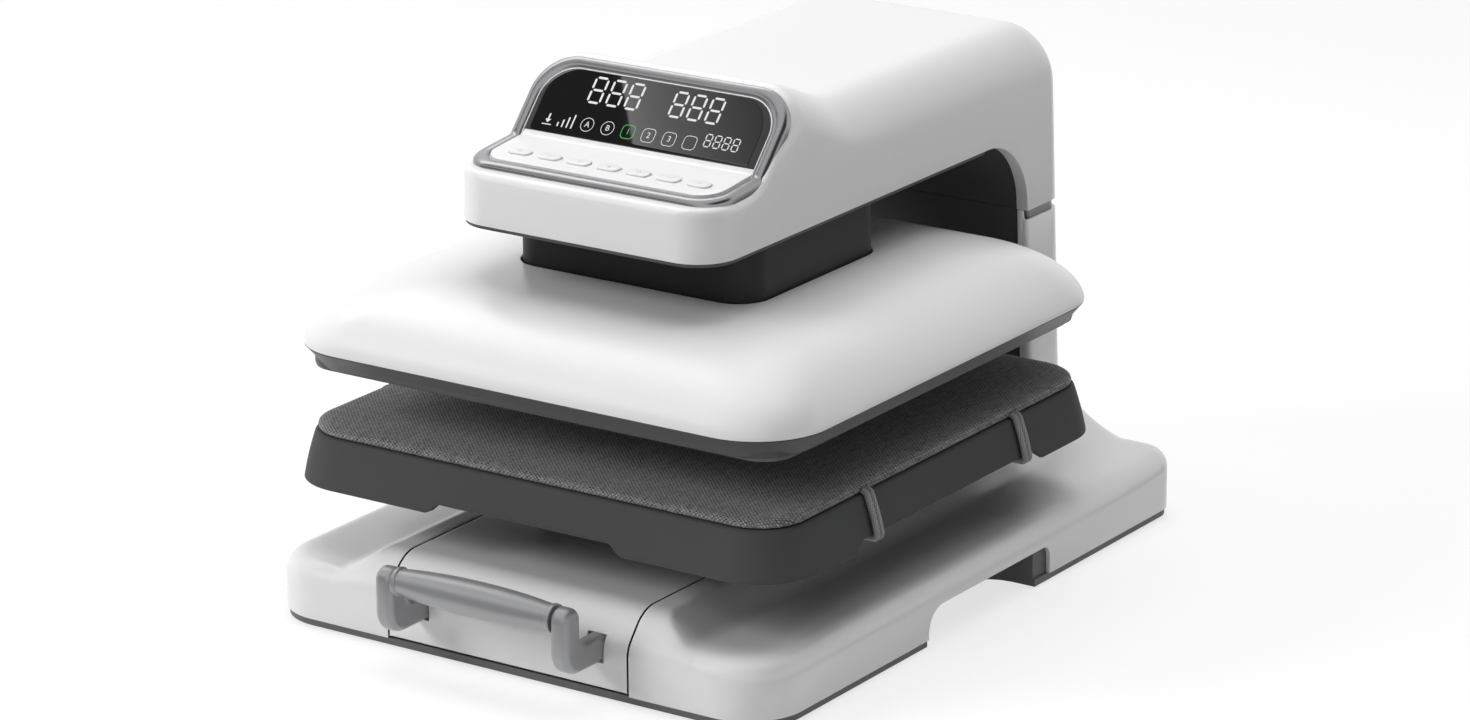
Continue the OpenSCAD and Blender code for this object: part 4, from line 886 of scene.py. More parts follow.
@dataclass(frozen=True)
class Base:
    """White base moulding with flanks, bridge, saddle and hand notches, and its feet."""

    half: float = 205.5
    front: float = -223.5
    back: float = 300.0
    corner_r: float = 41.0
    rear_r: float = 22.0
    low: float = 7.0
    flank: float = 46.0
    bridge: float = 62.3
    bridge_half: float = 112.0
    bridge_r: float = 8.0
    foot_r: float = 22.0
    lean: float = 57.0
    nose_r: float = 18.0
    brow_r: float = 25.0
    nose_lean: float = 40.0
    nose_straight: float = 26.0
    rear_rise: float = 6.0
    edge_r: float = 15.0
    saddle_from: float = 202.0
    saddle_run: float = 75.0
    saddle_gap: float = 2.0
    flank_run: float = 14.0
    flank_drop: float = 30.0
    ridge_power: float = 4.0
    sweep_run: float = 12.0
    sweep_sink: float = 0.5
    column_z: float = 78.0
    column_half: float = 113.1225
    column_front: float = 250.0
    slot_half: float = 98.4
    slot_back: float = 165.8
    notch_front: float = -30.0
    notch_back: float = 124.0
    notch_top: float = 28.0
    notch_r: float = 17.0
    notch_rear_r: float = 8.0
    wall_n: int = 4
    skin: float = 3.0
    edge: float = 0.35
    rubber_r: float = 14.0
    rubber_inset: float = 34.0
    rubber_h: float = 2.0
    slope: list[Flat] = field(default_factory=list)
    nose: list[Flat] = field(default_factory=list)
    saddle: list[Flat] = field(default_factory=list)
    notch: list[Flat] = field(default_factory=list)

    def __post_init__(self) -> None:
        """Draws the four profiles that the moulding is made of."""
        turn = math.radians(self.lean)
        both = self.bridge_r + self.foot_r
        drop = self.bridge - self.flank - both * (1 - math.sin(turn))
        foot = self.bridge_half + both * math.cos(turn) + drop * math.tan(turn)
        r = self.bridge_r
        self.slope.extend(arc(self.bridge_half, self.bridge - r, r, 90, self.lean, 8))
        self.slope.extend(arc(foot, self.flank + self.foot_r, self.foot_r, 180 + self.lean, 270, 12))
        self.slope.append((foot + 4, self.low))
        self.nose.extend(self.nose_curve())
        side = self.column_half + 1
        rise = self.column_z - self.flank
        r = (self.saddle_run ** 2 + rise ** 2) / (2 * rise)
        sweep = math.degrees(math.asin(self.saddle_run / r))
        self.saddle.extend(arc(side + self.saddle_run, self.flank + r, r, 270 - sweep, 270, 16))
        self.saddle.append((side + self.saddle_run + 4, self.low))
        top, r0, r1 = self.notch_top, self.notch_r, self.notch_rear_r
        self.notch.append((self.notch_front - 0.1, self.low))
        self.notch.extend(arc(self.notch_front + r0, top - r0, r0, 180, 90, 8))
        self.notch.extend(arc(self.notch_back - r1, top - r1, r1, 90, 0, 6))
        self.notch.append((self.notch_back + 0.1, self.low))

    def nose_curve(self) -> list[Flat]:
        """Leaning front of bridge and drawer, from its straight foot to its level top.

        Returns:
            Points of (y, z).
        """
        turn = math.radians(self.nose_lean)
        z0 = self.low + self.nose_straight
        y1 = self.front + self.nose_r * (1 - math.cos(turn))
        z1 = z0 + self.nose_r * math.sin(turn)
        z2 = self.bridge - self.brow_r * (1 - math.sin(turn))
        y2 = y1 + (z2 - z1) * math.tan(turn)
        return (arc(self.front + self.nose_r, z0, self.nose_r, 180, 180 - self.nose_lean, 8)
                + arc(y2 + self.brow_r * math.cos(turn), self.bridge - self.brow_r, self.brow_r,
                      180 - self.nose_lean, 90, 10))

    def inset(self, x: float, y: float) -> float:
        """Distance of a plan point from the outline.

        Args:
            x, y: Plan point.

        Returns:
            Distance, above 0 inside.
        """
        r = self.rear_r if y > 0 else self.corner_r
        qx = abs(x) - self.half + r
        qy = max(self.front - y, y - self.back) + r
        return r - (math.hypot(qx, qy) if qx > 0 and qy > 0 else max(qx, qy))

    def top(self, x: float, y: float) -> float:
        """Height of the upper surface at a plan point.

        Args:
            x, y: Plan point.

        Returns:
            Height.
        """
        side = abs(x)
        sink = fall(self.edge_r - self.inset(x, y), self.edge_r, self.edge_r)
        back = max(0.0, y - self.saddle_from) / (self.back - self.saddle_from)
        outer = ease((side - self.bridge_half) / self.flank_run)
        flank = self.flank + self.rear_rise * back * back - sink - self.flank_drop * (1 - outer)
        drops = [self.bridge - lookup(side, self.slope), self.bridge - lookup(y, self.nose)]
        power = self.ridge_power
        ridge = self.bridge - sum(max(d, 0.0) ** power for d in drops) ** (1 / power)
        low = max(flank, ridge)
        run = self.column_front - self.saddle_gap - self.saddle_from
        rise = min(max(0.0, y - self.saddle_from) / run, 1.0)
        apart = ease((side - self.column_half) / self.sweep_run)
        sweep = lookup(side, self.saddle) - self.sweep_sink * sink * apart
        return low + max(0.0, sweep - low) * rise * rise

    def reach(self, inset: float, y: float) -> float:
        """Half width at y of the outline drawn in by an inset."""
        nose = fall(-y, self.corner_r - inset, -self.front - inset)
        return self.half - inset - nose - fall(y, self.rear_r - inset, self.back - inset)

    def stations(self) -> list[float]:
        """Places of the sections along y.

        Returns:
            Places from front to back.
        """
        edge = quarter(self.edge_r, 10)
        front = [self.front + e for e in edge + spread(self.edge_r + 2, self.corner_r, 10)]
        rear = [self.back - e for e in edge + spread(self.edge_r + 1.5, self.rear_r, 4)]
        notch = [y for y, _ in self.notch]
        middle = spread(-165, -45, 6) + notch + spread(notch[9] + 14, notch[10] - 14, 7)
        middle += [140, 153, self.slot_back, 174, 182, 262, 271]
        middle += spread(self.saddle_from, self.column_front - 1, 18)
        return sorted(set(front + middle + rear))

    def section(self, y: float) -> list[Point]:
        """Section from the lower right edge over the top to the lower left edge.

        Args:
            y: Place of the section.

        Returns:
            Points.
        """
        foot = self.slope[-2][0] + 4
        edge = [self.reach(e, y) for e in quarter(self.edge_r, 10)]
        flank = [edge[-1] + (foot - edge[-1]) * i / 9 for i in range(1, 10)]
        slope = spread(foot - 1.5, self.bridge_half - 4, 22)
        xs = edge + flank + slope + [self.slot_half + 3, self.slot_half]
        crest = self.top(edge[0], y)
        foot_z = lookup(y, self.notch)
        wall = [(edge[0], y, foot_z + (crest - foot_z) * k / self.wall_n) for k in range(self.wall_n)]
        right = wall + [(x, y, self.top(x, y)) for x in xs]
        return right + [(-x, y, z) for x, y, z in reversed(right)]

    def shell(self) -> None:
        """Builds the base moulding with its drawer slot and notches."""

        def end_wall(row: list[Point], at: float) -> list[list[Point]]:
            """Rows of an end wall, from its foot up to just under a section."""
            shares = [k / self.wall_n for k in range(self.wall_n)]
            return [[(x, at, self.low + (z - self.low) * s) for x, _, z in row] for s in shares]

        rows = [self.section(y) for y in self.stations()]
        rows = end_wall(rows[0], self.front) + rows + end_wall(rows[-1], self.back)[::-1]
        count = len(rows[0])
        slot = count // 2 - 1
        opened = [j for j, row in enumerate(rows) if row[slot][1] < self.slot_back - WELD][-1]
        ends = (self.wall_n - 1, len(rows) - 1 - self.wall_n)

        def skip(i: int, j: int) -> bool:
            """Leaves the slot open, and the corner cells that have no area."""
            corner = i < self.wall_n or i >= count - 1 - self.wall_n
            return (i == slot and j <= opened) or (corner and (j <= ends[0] or j >= ends[1]))

        mould = Mould()
        mould.sheet(count - 1, len(rows) - 1, lambda i, j: rows[j][i], skip)
        mould.face_out((0, 30, 10))
        seat = Seat(Body.FRAME.value, Slot.WHITE, ("base_shell",))
        wall = Wall(self.skin, self.edge, segments=2, sharp=50, even=False)
        piece = seat.take(mould, "base_moulding", [WHITE, CHARCOAL], wall)
        # The walls of the drawer gap get the charcoal finish as a painted shadow in the gap; the moulding is
        # white there.
        steep, near = 0.8, 0.2
        for face in piece.data.polygons:
            if abs(face.normal.x) > steep and abs(abs(face.center.x) / MM - self.slot_half) < near:
                face.material_index = 1

    def feet(self) -> None:
        """Builds the four rubber feet."""
        r, h = self.rubber_r, self.rubber_h
        profile = [(0, 0.4), (r - 6, 0.4), (r - 5.5, 0), (r - 2, 0), (r - 1.2, 0.5), (r, h - 0.6),
                   (r, h), (0, h)]
        mould = Mould()
        for x in (-1, 1):
            for y in (self.front + self.rubber_inset, self.back - self.rubber_inset):
                mould.lathe(profile, Matrix.Translation((x * (self.half - self.rubber_inset), y, 0)))
        mould.orient()
        seat = Seat(Body.FRAME.value, Slot.RUBBER, ("rubber_feet",))
        seat.take(mould, "feet", [RUBBER], Wall(sharp=50))

    def build(self) -> None:
        """Builds the whole base."""
        self.shell()
        self.feet()


@dataclass(frozen=True)
class Drawer:
    """White drawer strip and its cast handle."""

    base: Base
    half: float = 97.0
    back: float = 165.0
    lift: float = 9.2
    fold: float = 11.0
    span: float = 142.0
    reach: float = 31.0
    grip_z: float = 64.0
    grip_r: float = 12.2
    grip_end_r: float = 9.0
    grip_power: float = 2.2
    collar_w: float = 4.0
    leg_w: float = 14.0
    leg_t: float = 18.0
    leg_r: float = 4.8
    heel_r: float = 16.0
    web_r: float = 7.0
    boss_z: float = 35.5
    tail: float = 13.0
    gap: float = 0.4

    def profile(self) -> list[Flat]:
        """Front and top of the strip as (y, z), with points at the arms' cut-outs.

        Returns:
            Points from the foot up and back.
        """
        curve = self.base.nose_curve()
        y0 = self.base.front
        cut = self.leg_t / 2 + self.gap
        straight = [(y0, z) for z in (self.lift, 15.0, self.boss_z - cut, 28.0)]
        upper, near = self.boss_z + cut, 0.3
        at = lookup(upper, [(z, y) for y, z in curve])
        below = [p for p in curve if p[1] < upper - near]
        above = [p for p in curve if p[1] > upper + near]
        level = [(y, self.base.bridge) for y in spread(curve[-1][0] + 12, self.back, 12)]
        return straight + below + [(at, upper)] + above + level

    def cover(self) -> None:
        """Builds the strip with its folded sides and the cut-outs for the arms."""
        path = self.profile()
        arm = [(self.span - self.leg_w) / 2 - self.gap, (self.span + self.leg_w) / 2 + self.gap]
        inner = [-self.half + 1.0, *(-a for a in reversed(arm)), -30.0, 0.0, 30.0, *arm, self.half - 1.0]
        across = [-self.half] * 3 + inner + [self.half] * 3
        depths = [self.fold, self.fold / 2, 0.0] + [0.0] * len(inner) + [0.0, self.fold / 2, self.fold]
        spots = [Vector(p) for p in path]
        normals = []
        for k in range(len(spots)):
            way = (spots[min(k + 1, len(spots) - 1)] - spots[max(k - 1, 0)]).normalized()
            normals.append(Vector((way.y, -way.x)))

        def place(i: int, j: int) -> Point:
            """Point of the strip; the folds go straight in from the surface."""
            spot = spots[j] + normals[j] * depths[i]
            return (across[i], spot.x, spot.y)

        slack = 0.6
        low, high = self.boss_z - self.leg_t / 2 - slack, self.boss_z + self.leg_t / 2 + slack

        def skip(i: int, j: int) -> bool:
            """Leaves the two cut-outs open."""
            middle, height = (across[i] + across[i + 1]) / 2, (path[j][1] + path[j + 1][1]) / 2
            return arm[0] < abs(middle) < arm[1] and low < height < high

        mould = Mould()
        mould.sheet(len(across) - 1, len(path) - 1, place, skip)
        mould.face_out((0, 20, 10))
        seat = Seat(Body.DRAWER.value, Slot.WHITE, ("drawer_cover",))
        # The folds that run down into the gaps beside the drawer get the charcoal finish as a painted shadow
        # in the gaps; the strip is white there.
        for face in mould.bm.faces:
            face.material_index = int(min(abs(v.co.x) for v in face.verts) > self.half - WELD)
        wall = Wall(self.base.skin, self.base.edge, segments=2, sharp=50, even=False)
        seat.take(mould, "drawer_strip", [WHITE, CHARCOAL], wall)

    def bracket(self, side: int) -> None:
        """Builds one cast arm of the handle.

        Args:
            side: 1 for the right arm, -1 for the left arm.
        """
        t = self.leg_t / 2
        y = self.base.front - self.reach
        end = self.base.front + self.tail
        heel, web = self.heel_r, self.web_r
        outline = [(end, self.boss_z - t)]
        outline += arc(y - t + heel, self.boss_z - t + heel, heel, 270, 180, 10)
        outline += arc(y, self.grip_z, t, 180, 0, 18)
        outline += arc(y + t + web, self.boss_z + t + web, web, 180, 270, 8)
        outline.append((end, self.boss_z + t))
        low = (self.span - self.leg_w) / 2
        turn = Matrix(((0, 0, side, 0), (1, 0, 0, 0), (0, 1, 0, 0), (0, 0, 0, 1)))
        mould = Mould()
        mould.prism(outline, low, low + self.leg_w, turn, self.leg_r, 7)
        mould.orient()
        name = "right" if side > 0 else "left"
        seat = Seat(Body.DRAWER.value, Slot.HANDLE, (f"handle_bracket_{name}",))
        seat.take(mould, f"handle_arm_{name}", [HANDLE], Wall(sharp=50))

    def grip(self) -> None:
        """Builds the barrel grip with a collar at each end."""
        half = (self.span - self.leg_w) / 2
        r = self.grip_end_r
        swell = self.grip_r - r
        collar = [(0, -half), (r + 0.7, -half), (r + 0.9, -half + 0.6), (r + 0.9, -half + 2.4),
                  (r + 0.6, -half + 3.0), (r, -half + 3.3)]
        barrel = [(r + swell * (1 - abs(t) ** self.grip_power), t * (half - self.collar_w))
                  for t in spread(-1, 1, 28)]
        profile = collar + barrel + [(out, -z) for out, z in reversed(collar)]
        place = Matrix.Translation((0, self.base.front - self.reach, self.grip_z))
        mould = Mould()
        mould.lathe(profile, place @ Matrix.Rotation(math.pi / 2, 4, "Y"), 56)
        mould.orient()
        seat = Seat(Body.DRAWER.value, Slot.HANDLE, ("handle_grip",))
        seat.take(mould, "handle_barrel", [HANDLE], Wall(sharp=50))

    def build(self) -> None:
        """Builds strip, arms and grip."""
        self.cover()
        for side in (-1, 1):
            self.bracket(side)
        self.grip()


@dataclass(frozen=True)
class LowerPlaten:
    """Tray, pad and elastic cords that ride on the drawer."""

    width: float = 409.0
    rim: float = 391.5
    low: float = 93.5
    height: float = 33.2
    corner_r: float = 36.0
    skin: float = 3.0
    edge_r: float = 1.6
    bulge: float = 2.0
    pad_w: float = 388.0
    pad_rise: float = 8.1
    pad_bow: float = 0.5
    pad_min_r: float = 4.0
    cover_t: float = 1.2
    notch: float = 79.0
    side_notch: float = 115.0
    notch_h: float = 7.0
    strap_y: float = 92.0
    strap_r: float = 2.3
    strap_bend: float = 4.0

    @property
    def notch_run(self) -> float:
        """Length over which a notch rises."""
        return 1.5 * self.notch_h

    @property
    def top(self) -> float:
        """Height of the tray's rim."""
        return self.low + self.height

    def lower_edge(self, x: float, y: float) -> float:
        """Height of the tray's lower edge, raised in the four notches.

        Args:
            x, y: Plan point.

        Returns:
            Height.
        """
        half = self.width / 2 - self.corner_r
        along, reach = (x, self.notch) if abs(y) > half and abs(x) < half else (y, self.side_notch)
        return self.low + self.notch_h * ease((reach - abs(along)) / self.notch_run)

    def tray(self) -> None:
        """Builds the coated tray with its leaning wall and flat top."""
        half = self.width / 2
        lean = (self.rim - self.width) / 2
        run = self.width - 2 * self.corner_r
        knots = set(spread(0.0, 1.0, 36)[1:-1])
        for reach in (self.notch, self.side_notch):
            for step in spread(0.0, self.notch_run, 7):
                knots |= {0.5 + s * (reach - step) / run for s in (-1, 1)}
        side = sorted(knots)

        def ring(z_of: Callable[[float, float], float], inset: float) -> list[Point]:
            """Ring of the wall whose height may change along it.

            Args:
                z_of: Gives the height at a plan point.
                inset: How far the ring is drawn in.

            Returns:
                Points.
            """
            plan = round_rect(half, -half, half, self.corner_r - lean, self.corner_r - lean, 16, side, side)
            made = []
            for k, (x, y) in enumerate(plan):
                z = z_of(x, y)
                t = (z - self.low) / self.height
                grow = lean * t + self.bulge * t * (1 - t) - inset
                r = max(self.corner_r - lean + lean * t - inset, 2.0)
                spot = round_rect(half + grow, -half - grow, half + grow, r, r, 16, side, side)[k]
                made.append((*spot, z))
            return made

        def wall_z(x: float, y: float, share: float) -> float:
            """Height at a share of the way from the lower edge to the round of the rim."""
            foot = self.lower_edge(x, y)
            return foot + (self.top - self.edge_r - foot) * share

        stack = [ring(lambda x, y, s=s: wall_z(x, y, s), 0.0) for s in (0, 0.12, 0.3, 0.5, 0.7, 0.86)]
        for inset in quarter(self.edge_r, 4):
            drop = fall(self.edge_r - inset, self.edge_r, self.edge_r)
            stack.append(ring(lambda x, y, d=drop: self.top - d, inset))
        for inset in (5.0, 20.0, 90.0, 170.0):
            stack.append(ring(lambda x, y: self.top, inset))
        mould = Mould()
        mould.rings(stack)
        mould.fill(self.top - 1)
        mould.face_out((0, 0, self.low))
        seat = Seat(Body.DRAWER.value, Slot.TRAY, ("platen_tray",))
        wall = Wall(self.skin, edge=0.6, segments=2, sharp=50, even=False)
        seat.take(mould, "lower_tray", [TRAY], wall)

    def pad_stack(self, shrink: float, lift: float) -> list[list[Point]]:
        """Rings of the pad: drawn in at its foot, round at its shoulder and softly crowned.

        Args:
            shrink: How far its skin lies inside the cover's skin.
            lift: Height of its foot over the tray.

        Returns:
            Rings from the foot up and in over the crown.
        """
        shape = [(2.6, 0.0), (1.3, 0.09), (0.5, 0.19), (0.1, 0.29), (0.0, 0.38), (0.15, 0.49), (0.55, 0.6),
                 (1.3, 0.7), (2.5, 0.79), (4.2, 0.86), (6.5, 0.905), (9.5, 0.93), (14, 0.945), (22, 0.96),
                 (40, 0.98), (75, 0.993), (120, 1.0)]
        half = self.pad_w / 2 - shrink
        radius = self.corner_r - 2 - shrink
        side = spread(0.0, 1.0, 24)[1:-1]
        rise = self.pad_rise - shrink - lift
        stack = []
        for inset, share in shape:
            r = max(radius - inset, self.pad_min_r)
            ring = []
            reach = half - inset
            for x, y, z in level_ring(reach, reach, r, self.top + lift + share * rise, 16, side):
                hollow = self.pad_bow * min(1.0, share * 4)
                for along in (y, x):
                    hollow *= math.cos(math.pi * along / self.pad_w)
                ring.append((x - math.copysign(hollow, x) * (abs(x) > abs(y)),
                             y - math.copysign(hollow, y) * (abs(y) >= abs(x)), z))
            stack.append(ring)
        return stack

    def pad(self) -> None:
        """Builds the silicone pad and the woven cover drawn over it."""
        core = Mould()
        core.rings(self.pad_stack(self.cover_t, 0.05), caps=True)
        core.orient()
        seat = Seat(Body.DRAWER.value, Slot.PAD, ("silicone_pad",))
        seat.take(core, "press_pad", [SILICONE], Wall(sharp=60))
        cover = Mould()
        cover.rings(self.pad_stack(0.0, 0.3))
        cover.fill(self.top + self.pad_rise - 1)
        cover.face_out((0, 0, self.top - 100))
        seat = Seat(Body.DRAWER.value, Slot.WOVEN, ("pad_cover",))
        cloth = seat.take(cover, "pad_cloth", [CLOTH], Wall(self.cover_t - 0.15, sharp=60, even=False))

    def strap_route(self) -> list[Flat]:
        """Route of a cord as (x, z): out from under the pad, down the wall and round its lower edge.

        Returns:
            Points.
        """
        off = self.strap_r + 0.35
        hook = self.strap_r + 0.7
        lean = math.atan((self.width - self.rim) / 2 / self.height)
        slide = (off * math.cos(lean), off * math.sin(lean))
        bend = self.strap_bend
        edge = self.low + self.notch_h
        top = (self.rim / 2 + 0.4, self.top - 2.2)
        low = (self.width / 2 - self.notch_h * math.tan(lean) + 1, edge + hook - off)
        turn = math.degrees(lean)
        middle = ((top[0] + low[0]) / 2 + slide[0] + 0.7, (top[1] + low[1]) / 2 + slide[1])
        return ([(self.pad_w / 2 + 0.6, self.top + off + 0.4)]
                + arc(top[0] - bend + slide[0], top[1] + slide[1], bend, 80, turn, 6) + [middle]
                + arc(low[0] - 3 + slide[0], low[1], hook, turn, -90, 8) + [(low[0] - 10, low[1] - hook)])

    def straps(self, side: int) -> None:
        """Builds the two doubled cords of one side.

        Args:
            side: 1 for the right side, -1 for the left side.
        """
        route = [Vector((x, 0, z)) for x, _, z in rounded([(x, 0, z) for x, z in self.strap_route()], 2)]
        sides = 14
        thick = self.strap_r - 0.1
        mould = Mould()
        for y in (-self.strap_y, self.strap_y):
            for beside in (-1, 1):
                at = y + beside * (self.strap_r + 0.15)
                stack = []
                for k, spot in enumerate(route):
                    way = (route[min(k + 1, len(route) - 1)] - route[max(k - 1, 0)]).normalized()
                    out = Vector((-way.z, 0, way.x))
                    ring = []
                    for step in range(sides):
                        turn = math.tau * step / sides
                        point = spot + out * (thick * math.cos(turn))
                        ring.append((side * point.x, at + thick * math.sin(turn), point.z))
                    stack.append(ring)
                mould.rings(stack)
        mould.fill()
        mould.orient()
        name = "right" if side > 0 else "left"
        seat = Seat(Body.DRAWER.value, Slot.ELASTIC, (f"pad_straps_{name}",))
        seat.take(mould, f"elastic_cords_{name}", [ELASTIC], Wall(sharp=60))

    def build(self) -> None:
        """Builds tray, pad and cords."""
        self.tray()
        self.pad()
        for side in (-1, 1):
            self.straps(side)


@dataclass(frozen=True)
class UpperPlaten:
    """Domed cover and skirt of the hot platen."""

    width: float = 410.0
    corner_r: float = 52.0
    plate_z: float = 173.0
    plate_w: float = 381.0
    plate_t: float = 12.0
    parting: float = 189.3
    dome_h: float = 44.7
    neck_w: float = 194.0
    neck_d: float = 163.0
    neck_r: float = 22.0
    neck_gap: float = 2.5
    skin: float = 2.1
    lip: float = 1.2
    lip_h: float = 3.0
    dome_power: float = 3.0
    dome_root: float = 0.62
    skirt_power: float = 1.15
    steps: int = 44

    def dome(self, s: float) -> float:
        """Height of the dome over its parting line, from the rim (0) to the neck (1)."""
        return self.dome_h * (1 - (1 - s) ** self.dome_power) ** self.dome_root

    def ring(self, s: float, z: float, inset: float = 0.0) -> list[Point]:
        """Level ring of the dome between its rim and the neck opening.

        Args:
            s: Share of the way from rim to neck.
            z: Height.
            inset: How far the ring is drawn in.

        Returns:
            Points.
        """
        hx = self.width / 2 * (1 - s) + (self.neck_w / 2 + self.neck_gap) * s - inset
        hy = self.width / 2 * (1 - s) + (self.neck_d / 2 + self.neck_gap) * s - inset
        r = max(self.corner_r * (1 - s) + (self.neck_r + self.neck_gap) * s - inset, 1.0)
        return level_ring(hx, hy, r, z, 20, spread(0.0, 1.0, 20)[1:-1])

    def cover(self) -> None:
        """Builds the dome, from a small lip at the parting line to a rolled lip at the neck."""
        shares = [(i / self.steps) ** 2.2 for i in range(self.steps + 1)]
        lip = self.lip
        stack = [self.ring(0.0, self.parting + 0.05, lip)]
        stack += [self.ring(s, self.parting + self.dome(s)) for s in shares]
        crown = self.parting + self.dome_h
        stack += [self.ring(1.0, crown - fall(e, lip, lip), e) for e in (0.3, 0.6, 0.9, 1.1, lip)]
        stack.append(self.ring(1.0, crown - self.lip_h, lip))
        mould = Mould()
        mould.rings(stack)
        mould.face_out((0, 0, self.parting))
        seat = Seat(Body.PLATEN.value, Slot.WHITE, ("platen_cover",))
        seat.take(mould, "dome_cover", [WHITE], Wall(self.skin, sharp=60, even=False))

    def skirt(self) -> None:
        """Builds the dark skirt under the parting line, down to the hot plate."""
        out = self.width / 2 - 0.5
        low = self.plate_w / 2 + 5
        edge = self.plate_w / 2 + 0.5
        top = self.parting
        r = self.corner_r
        plate_top = self.plate_z + self.plate_t
        levels = [(low - 1.6, r - 10.5, self.plate_z + 2.0), (low - 0.6, r - 9.6, self.plate_z + 2.3),
                  (low, r - 9, self.plate_z + 3.0)]
        levels += [(low + (out - low) * t ** self.skirt_power, r - 9 + 8 * t,
                    self.plate_z + 3 + (top - 4 - self.plate_z) * t) for t in spread(0.12, 1.0, 8)]
        levels += [(out - 0.5, r - 1, top - 0.1), (out - 6, r - 6, top - 0.1), (edge - 5, 18, plate_top + 2),
                   (edge - 5, 18, plate_top), (edge, 22, plate_top), (edge, 22, self.plate_z + 2.0)]
        side = spread(0.0, 1.0, 8)[1:-1]
        stack = [level_ring(h, h, c, z, 18, side) for h, c, z in levels]
        mould = Mould()
        mould.rings(stack + stack[:1])
        mould.orient()
        seat = Seat(Body.PLATEN.value, Slot.SKIRT, ("platen_skirt",))
        seat.take(mould, "plate_skirt", [SKIRT], Wall(sharp=45))

    def build(self) -> None:
        """Builds cover and skirt."""
        self.cover()
        self.skirt()


@dataclass(frozen=True)
class Head:
    """White head and arm over the dark neck, drawn as sections that follow the arm's fall."""

    width: float = 214.0
    front: float = -138.0
    back: float = 300.0
    low: float = 275.5
    lip_z: float = 311.0
    lip_r: float = 6.0
    lip_soft: float = 10.0
    arm_z: float = 348.0
    hood_rise: float = 24.0
    hood_y: float = -40.0
    hood_run: float = 85.0
    hood_r: float = 30.0
    hood_soft: float = 4.0
    plan_r: float = 30.0
    arm_r: float = 34.0
    column_r: float = 18.0
    draft: float = 0.031
    arch_r: float = 50.0
    column_front: float = 250.0
    seam_z: float = 219.5
    seam_h: float = 7.0
    rim_gap: float = 0.5
    column_z: float = 78.0
    rim_w: float = 9.0
    ledge_front: float = -127.0
    ledge_step: float = 4.2
    ledge_tilt: float = 5.5
    fold_y: float = -70.0
    display_tilt: float = 48.0
    border_drop: float = 1.8
    neck_w: float = 194.0
    neck_d: float = 163.0
    neck_r: float = 22.0
    neck_low: float = 192.5
    neck_high: float = 282.5
    neck_edge: float = 0.6
    collar: float = 5.0
    collar_h: float = 3.0
    rim_r: float = 4.0
    inlet: Flat = (12.0, 40.0)
    switch: Flat = (-33.5, -18.5)
    cut_z: Flat = (101.5, 122.5)
    skin: float = 3.0
    wall_n: int = 5

    @property
    def arch_y(self) -> float:
        """Middle of the arch along y."""
        return self.column_front - self.arch_r

    def half(self, z: float) -> float:
        """Half width at a height; the sides lean in upwards."""
        return self.width / 2 + (self.low - z) * self.draft

    def ledge(self, y: float) -> float:
        """Height of the key ledge."""
        rise = math.tan(math.radians(self.ledge_tilt))
        return self.lip_z + self.ledge_step + (y - self.ledge_front) * rise

    def display(self, y: float) -> float:
        """Height of the display's plane."""
        return self.ledge(self.fold_y) + (y - self.fold_y) * math.tan(math.radians(self.display_tilt))

    def top(self, y: float) -> float:
        """Height of the crest: level lip, display slope, hood, long arm and the round at its back.

        Args:
            y: Place along the arm.

        Returns:
            Height.
        """
        run = min(max((y - self.hood_y) / self.hood_run, 0.0), 1.0)
        hood = self.arm_z + self.hood_rise * (0.5 + 0.5 * math.cos(math.pi * run))
        slope = smooth_max(self.lip_z, self.display(y) - self.border_drop, self.lip_soft)
        return (smooth_min(slope, hood, self.hood_soft) - fall(-y, self.lip_r, -self.front)
                - fall(y, self.arm_r, self.back))

    def lower(self, y: float) -> float:
        """Height of the lower edge: level, then down round the arch to the seam.

        Args:
            y: Place along the arm.

        Returns:
            Height.
        """
        if y <= self.arch_y:
            return self.low
        if y > self.column_front:
            return self.seam_z
        return self.low - self.arch_r + math.sqrt(max(0.0, self.arch_r ** 2 - (y - self.arch_y) ** 2))

    def shoulder(self, y: float) -> float:
        """Radius of the long upper edges."""
        return lookup(y, [(-60, self.lip_r), (-20, self.hood_r), (60, self.arm_r)])

    def stations(self) -> list[float]:
        """Places of the sections along y.

        Returns:
            Places from front to back.
        """
        front = [self.front + e for e in quarter(self.plan_r, 14) + quarter(self.lip_r, 6)]
        slope = spread(-104, 96, 66) + spread(102, self.arch_y - 6, 14)
        arch = [self.arch_y + self.arch_r * math.sin(math.radians(a)) for a in spread(0, 90, 22)]
        back = [self.back - e for e in quarter(self.arm_r, 16) + quarter(self.column_r, 8)]
        return sorted(set(front + slope + arch + [self.column_front + 0.15] + back))

    def section(self, y: float) -> list[Point]:
        """Section from the inner edge of the right rim over the top to the left rim.

        Args:
            y: Place of the section.

        Returns:
            Points.
        """
        top, low = self.top(y), self.lower(y)
        r = min(self.shoulder(y), (top - low) / 2)
        narrow = fall(-y, self.plan_r, -self.front) + fall(y, self.column_r, self.back)
        w, foot = self.half(top - r) - narrow, self.half(low) - narrow
        n = self.wall_n
        wall = [(foot + (w - foot) * k / n, low + (top - r - low) * k / n) for k in range(n)]
        bend = arc(w - r, top - r, r, 0, 90, 12)
        crest = [((w - r) * (1 - k / 7), top) for k in range(1, 7)]
        right = [(x, y, z) for x, z in [(foot - self.rim_w, low)] + wall + bend + crest]
        return right + [(0.0, y, top)] + [(-x, y, z) for x, y, z in reversed(right)]

    def shell(self, opening: Callable[[float, float], bool]) -> None:
        """Builds the head moulding.

        Args:
            opening: Says which plan points lie well under the control panel, where the moulding is open.
        """
        rows = [self.section(y) for y in self.stations()]
        n = self.wall_n + 1
        steps = range(self.wall_n)

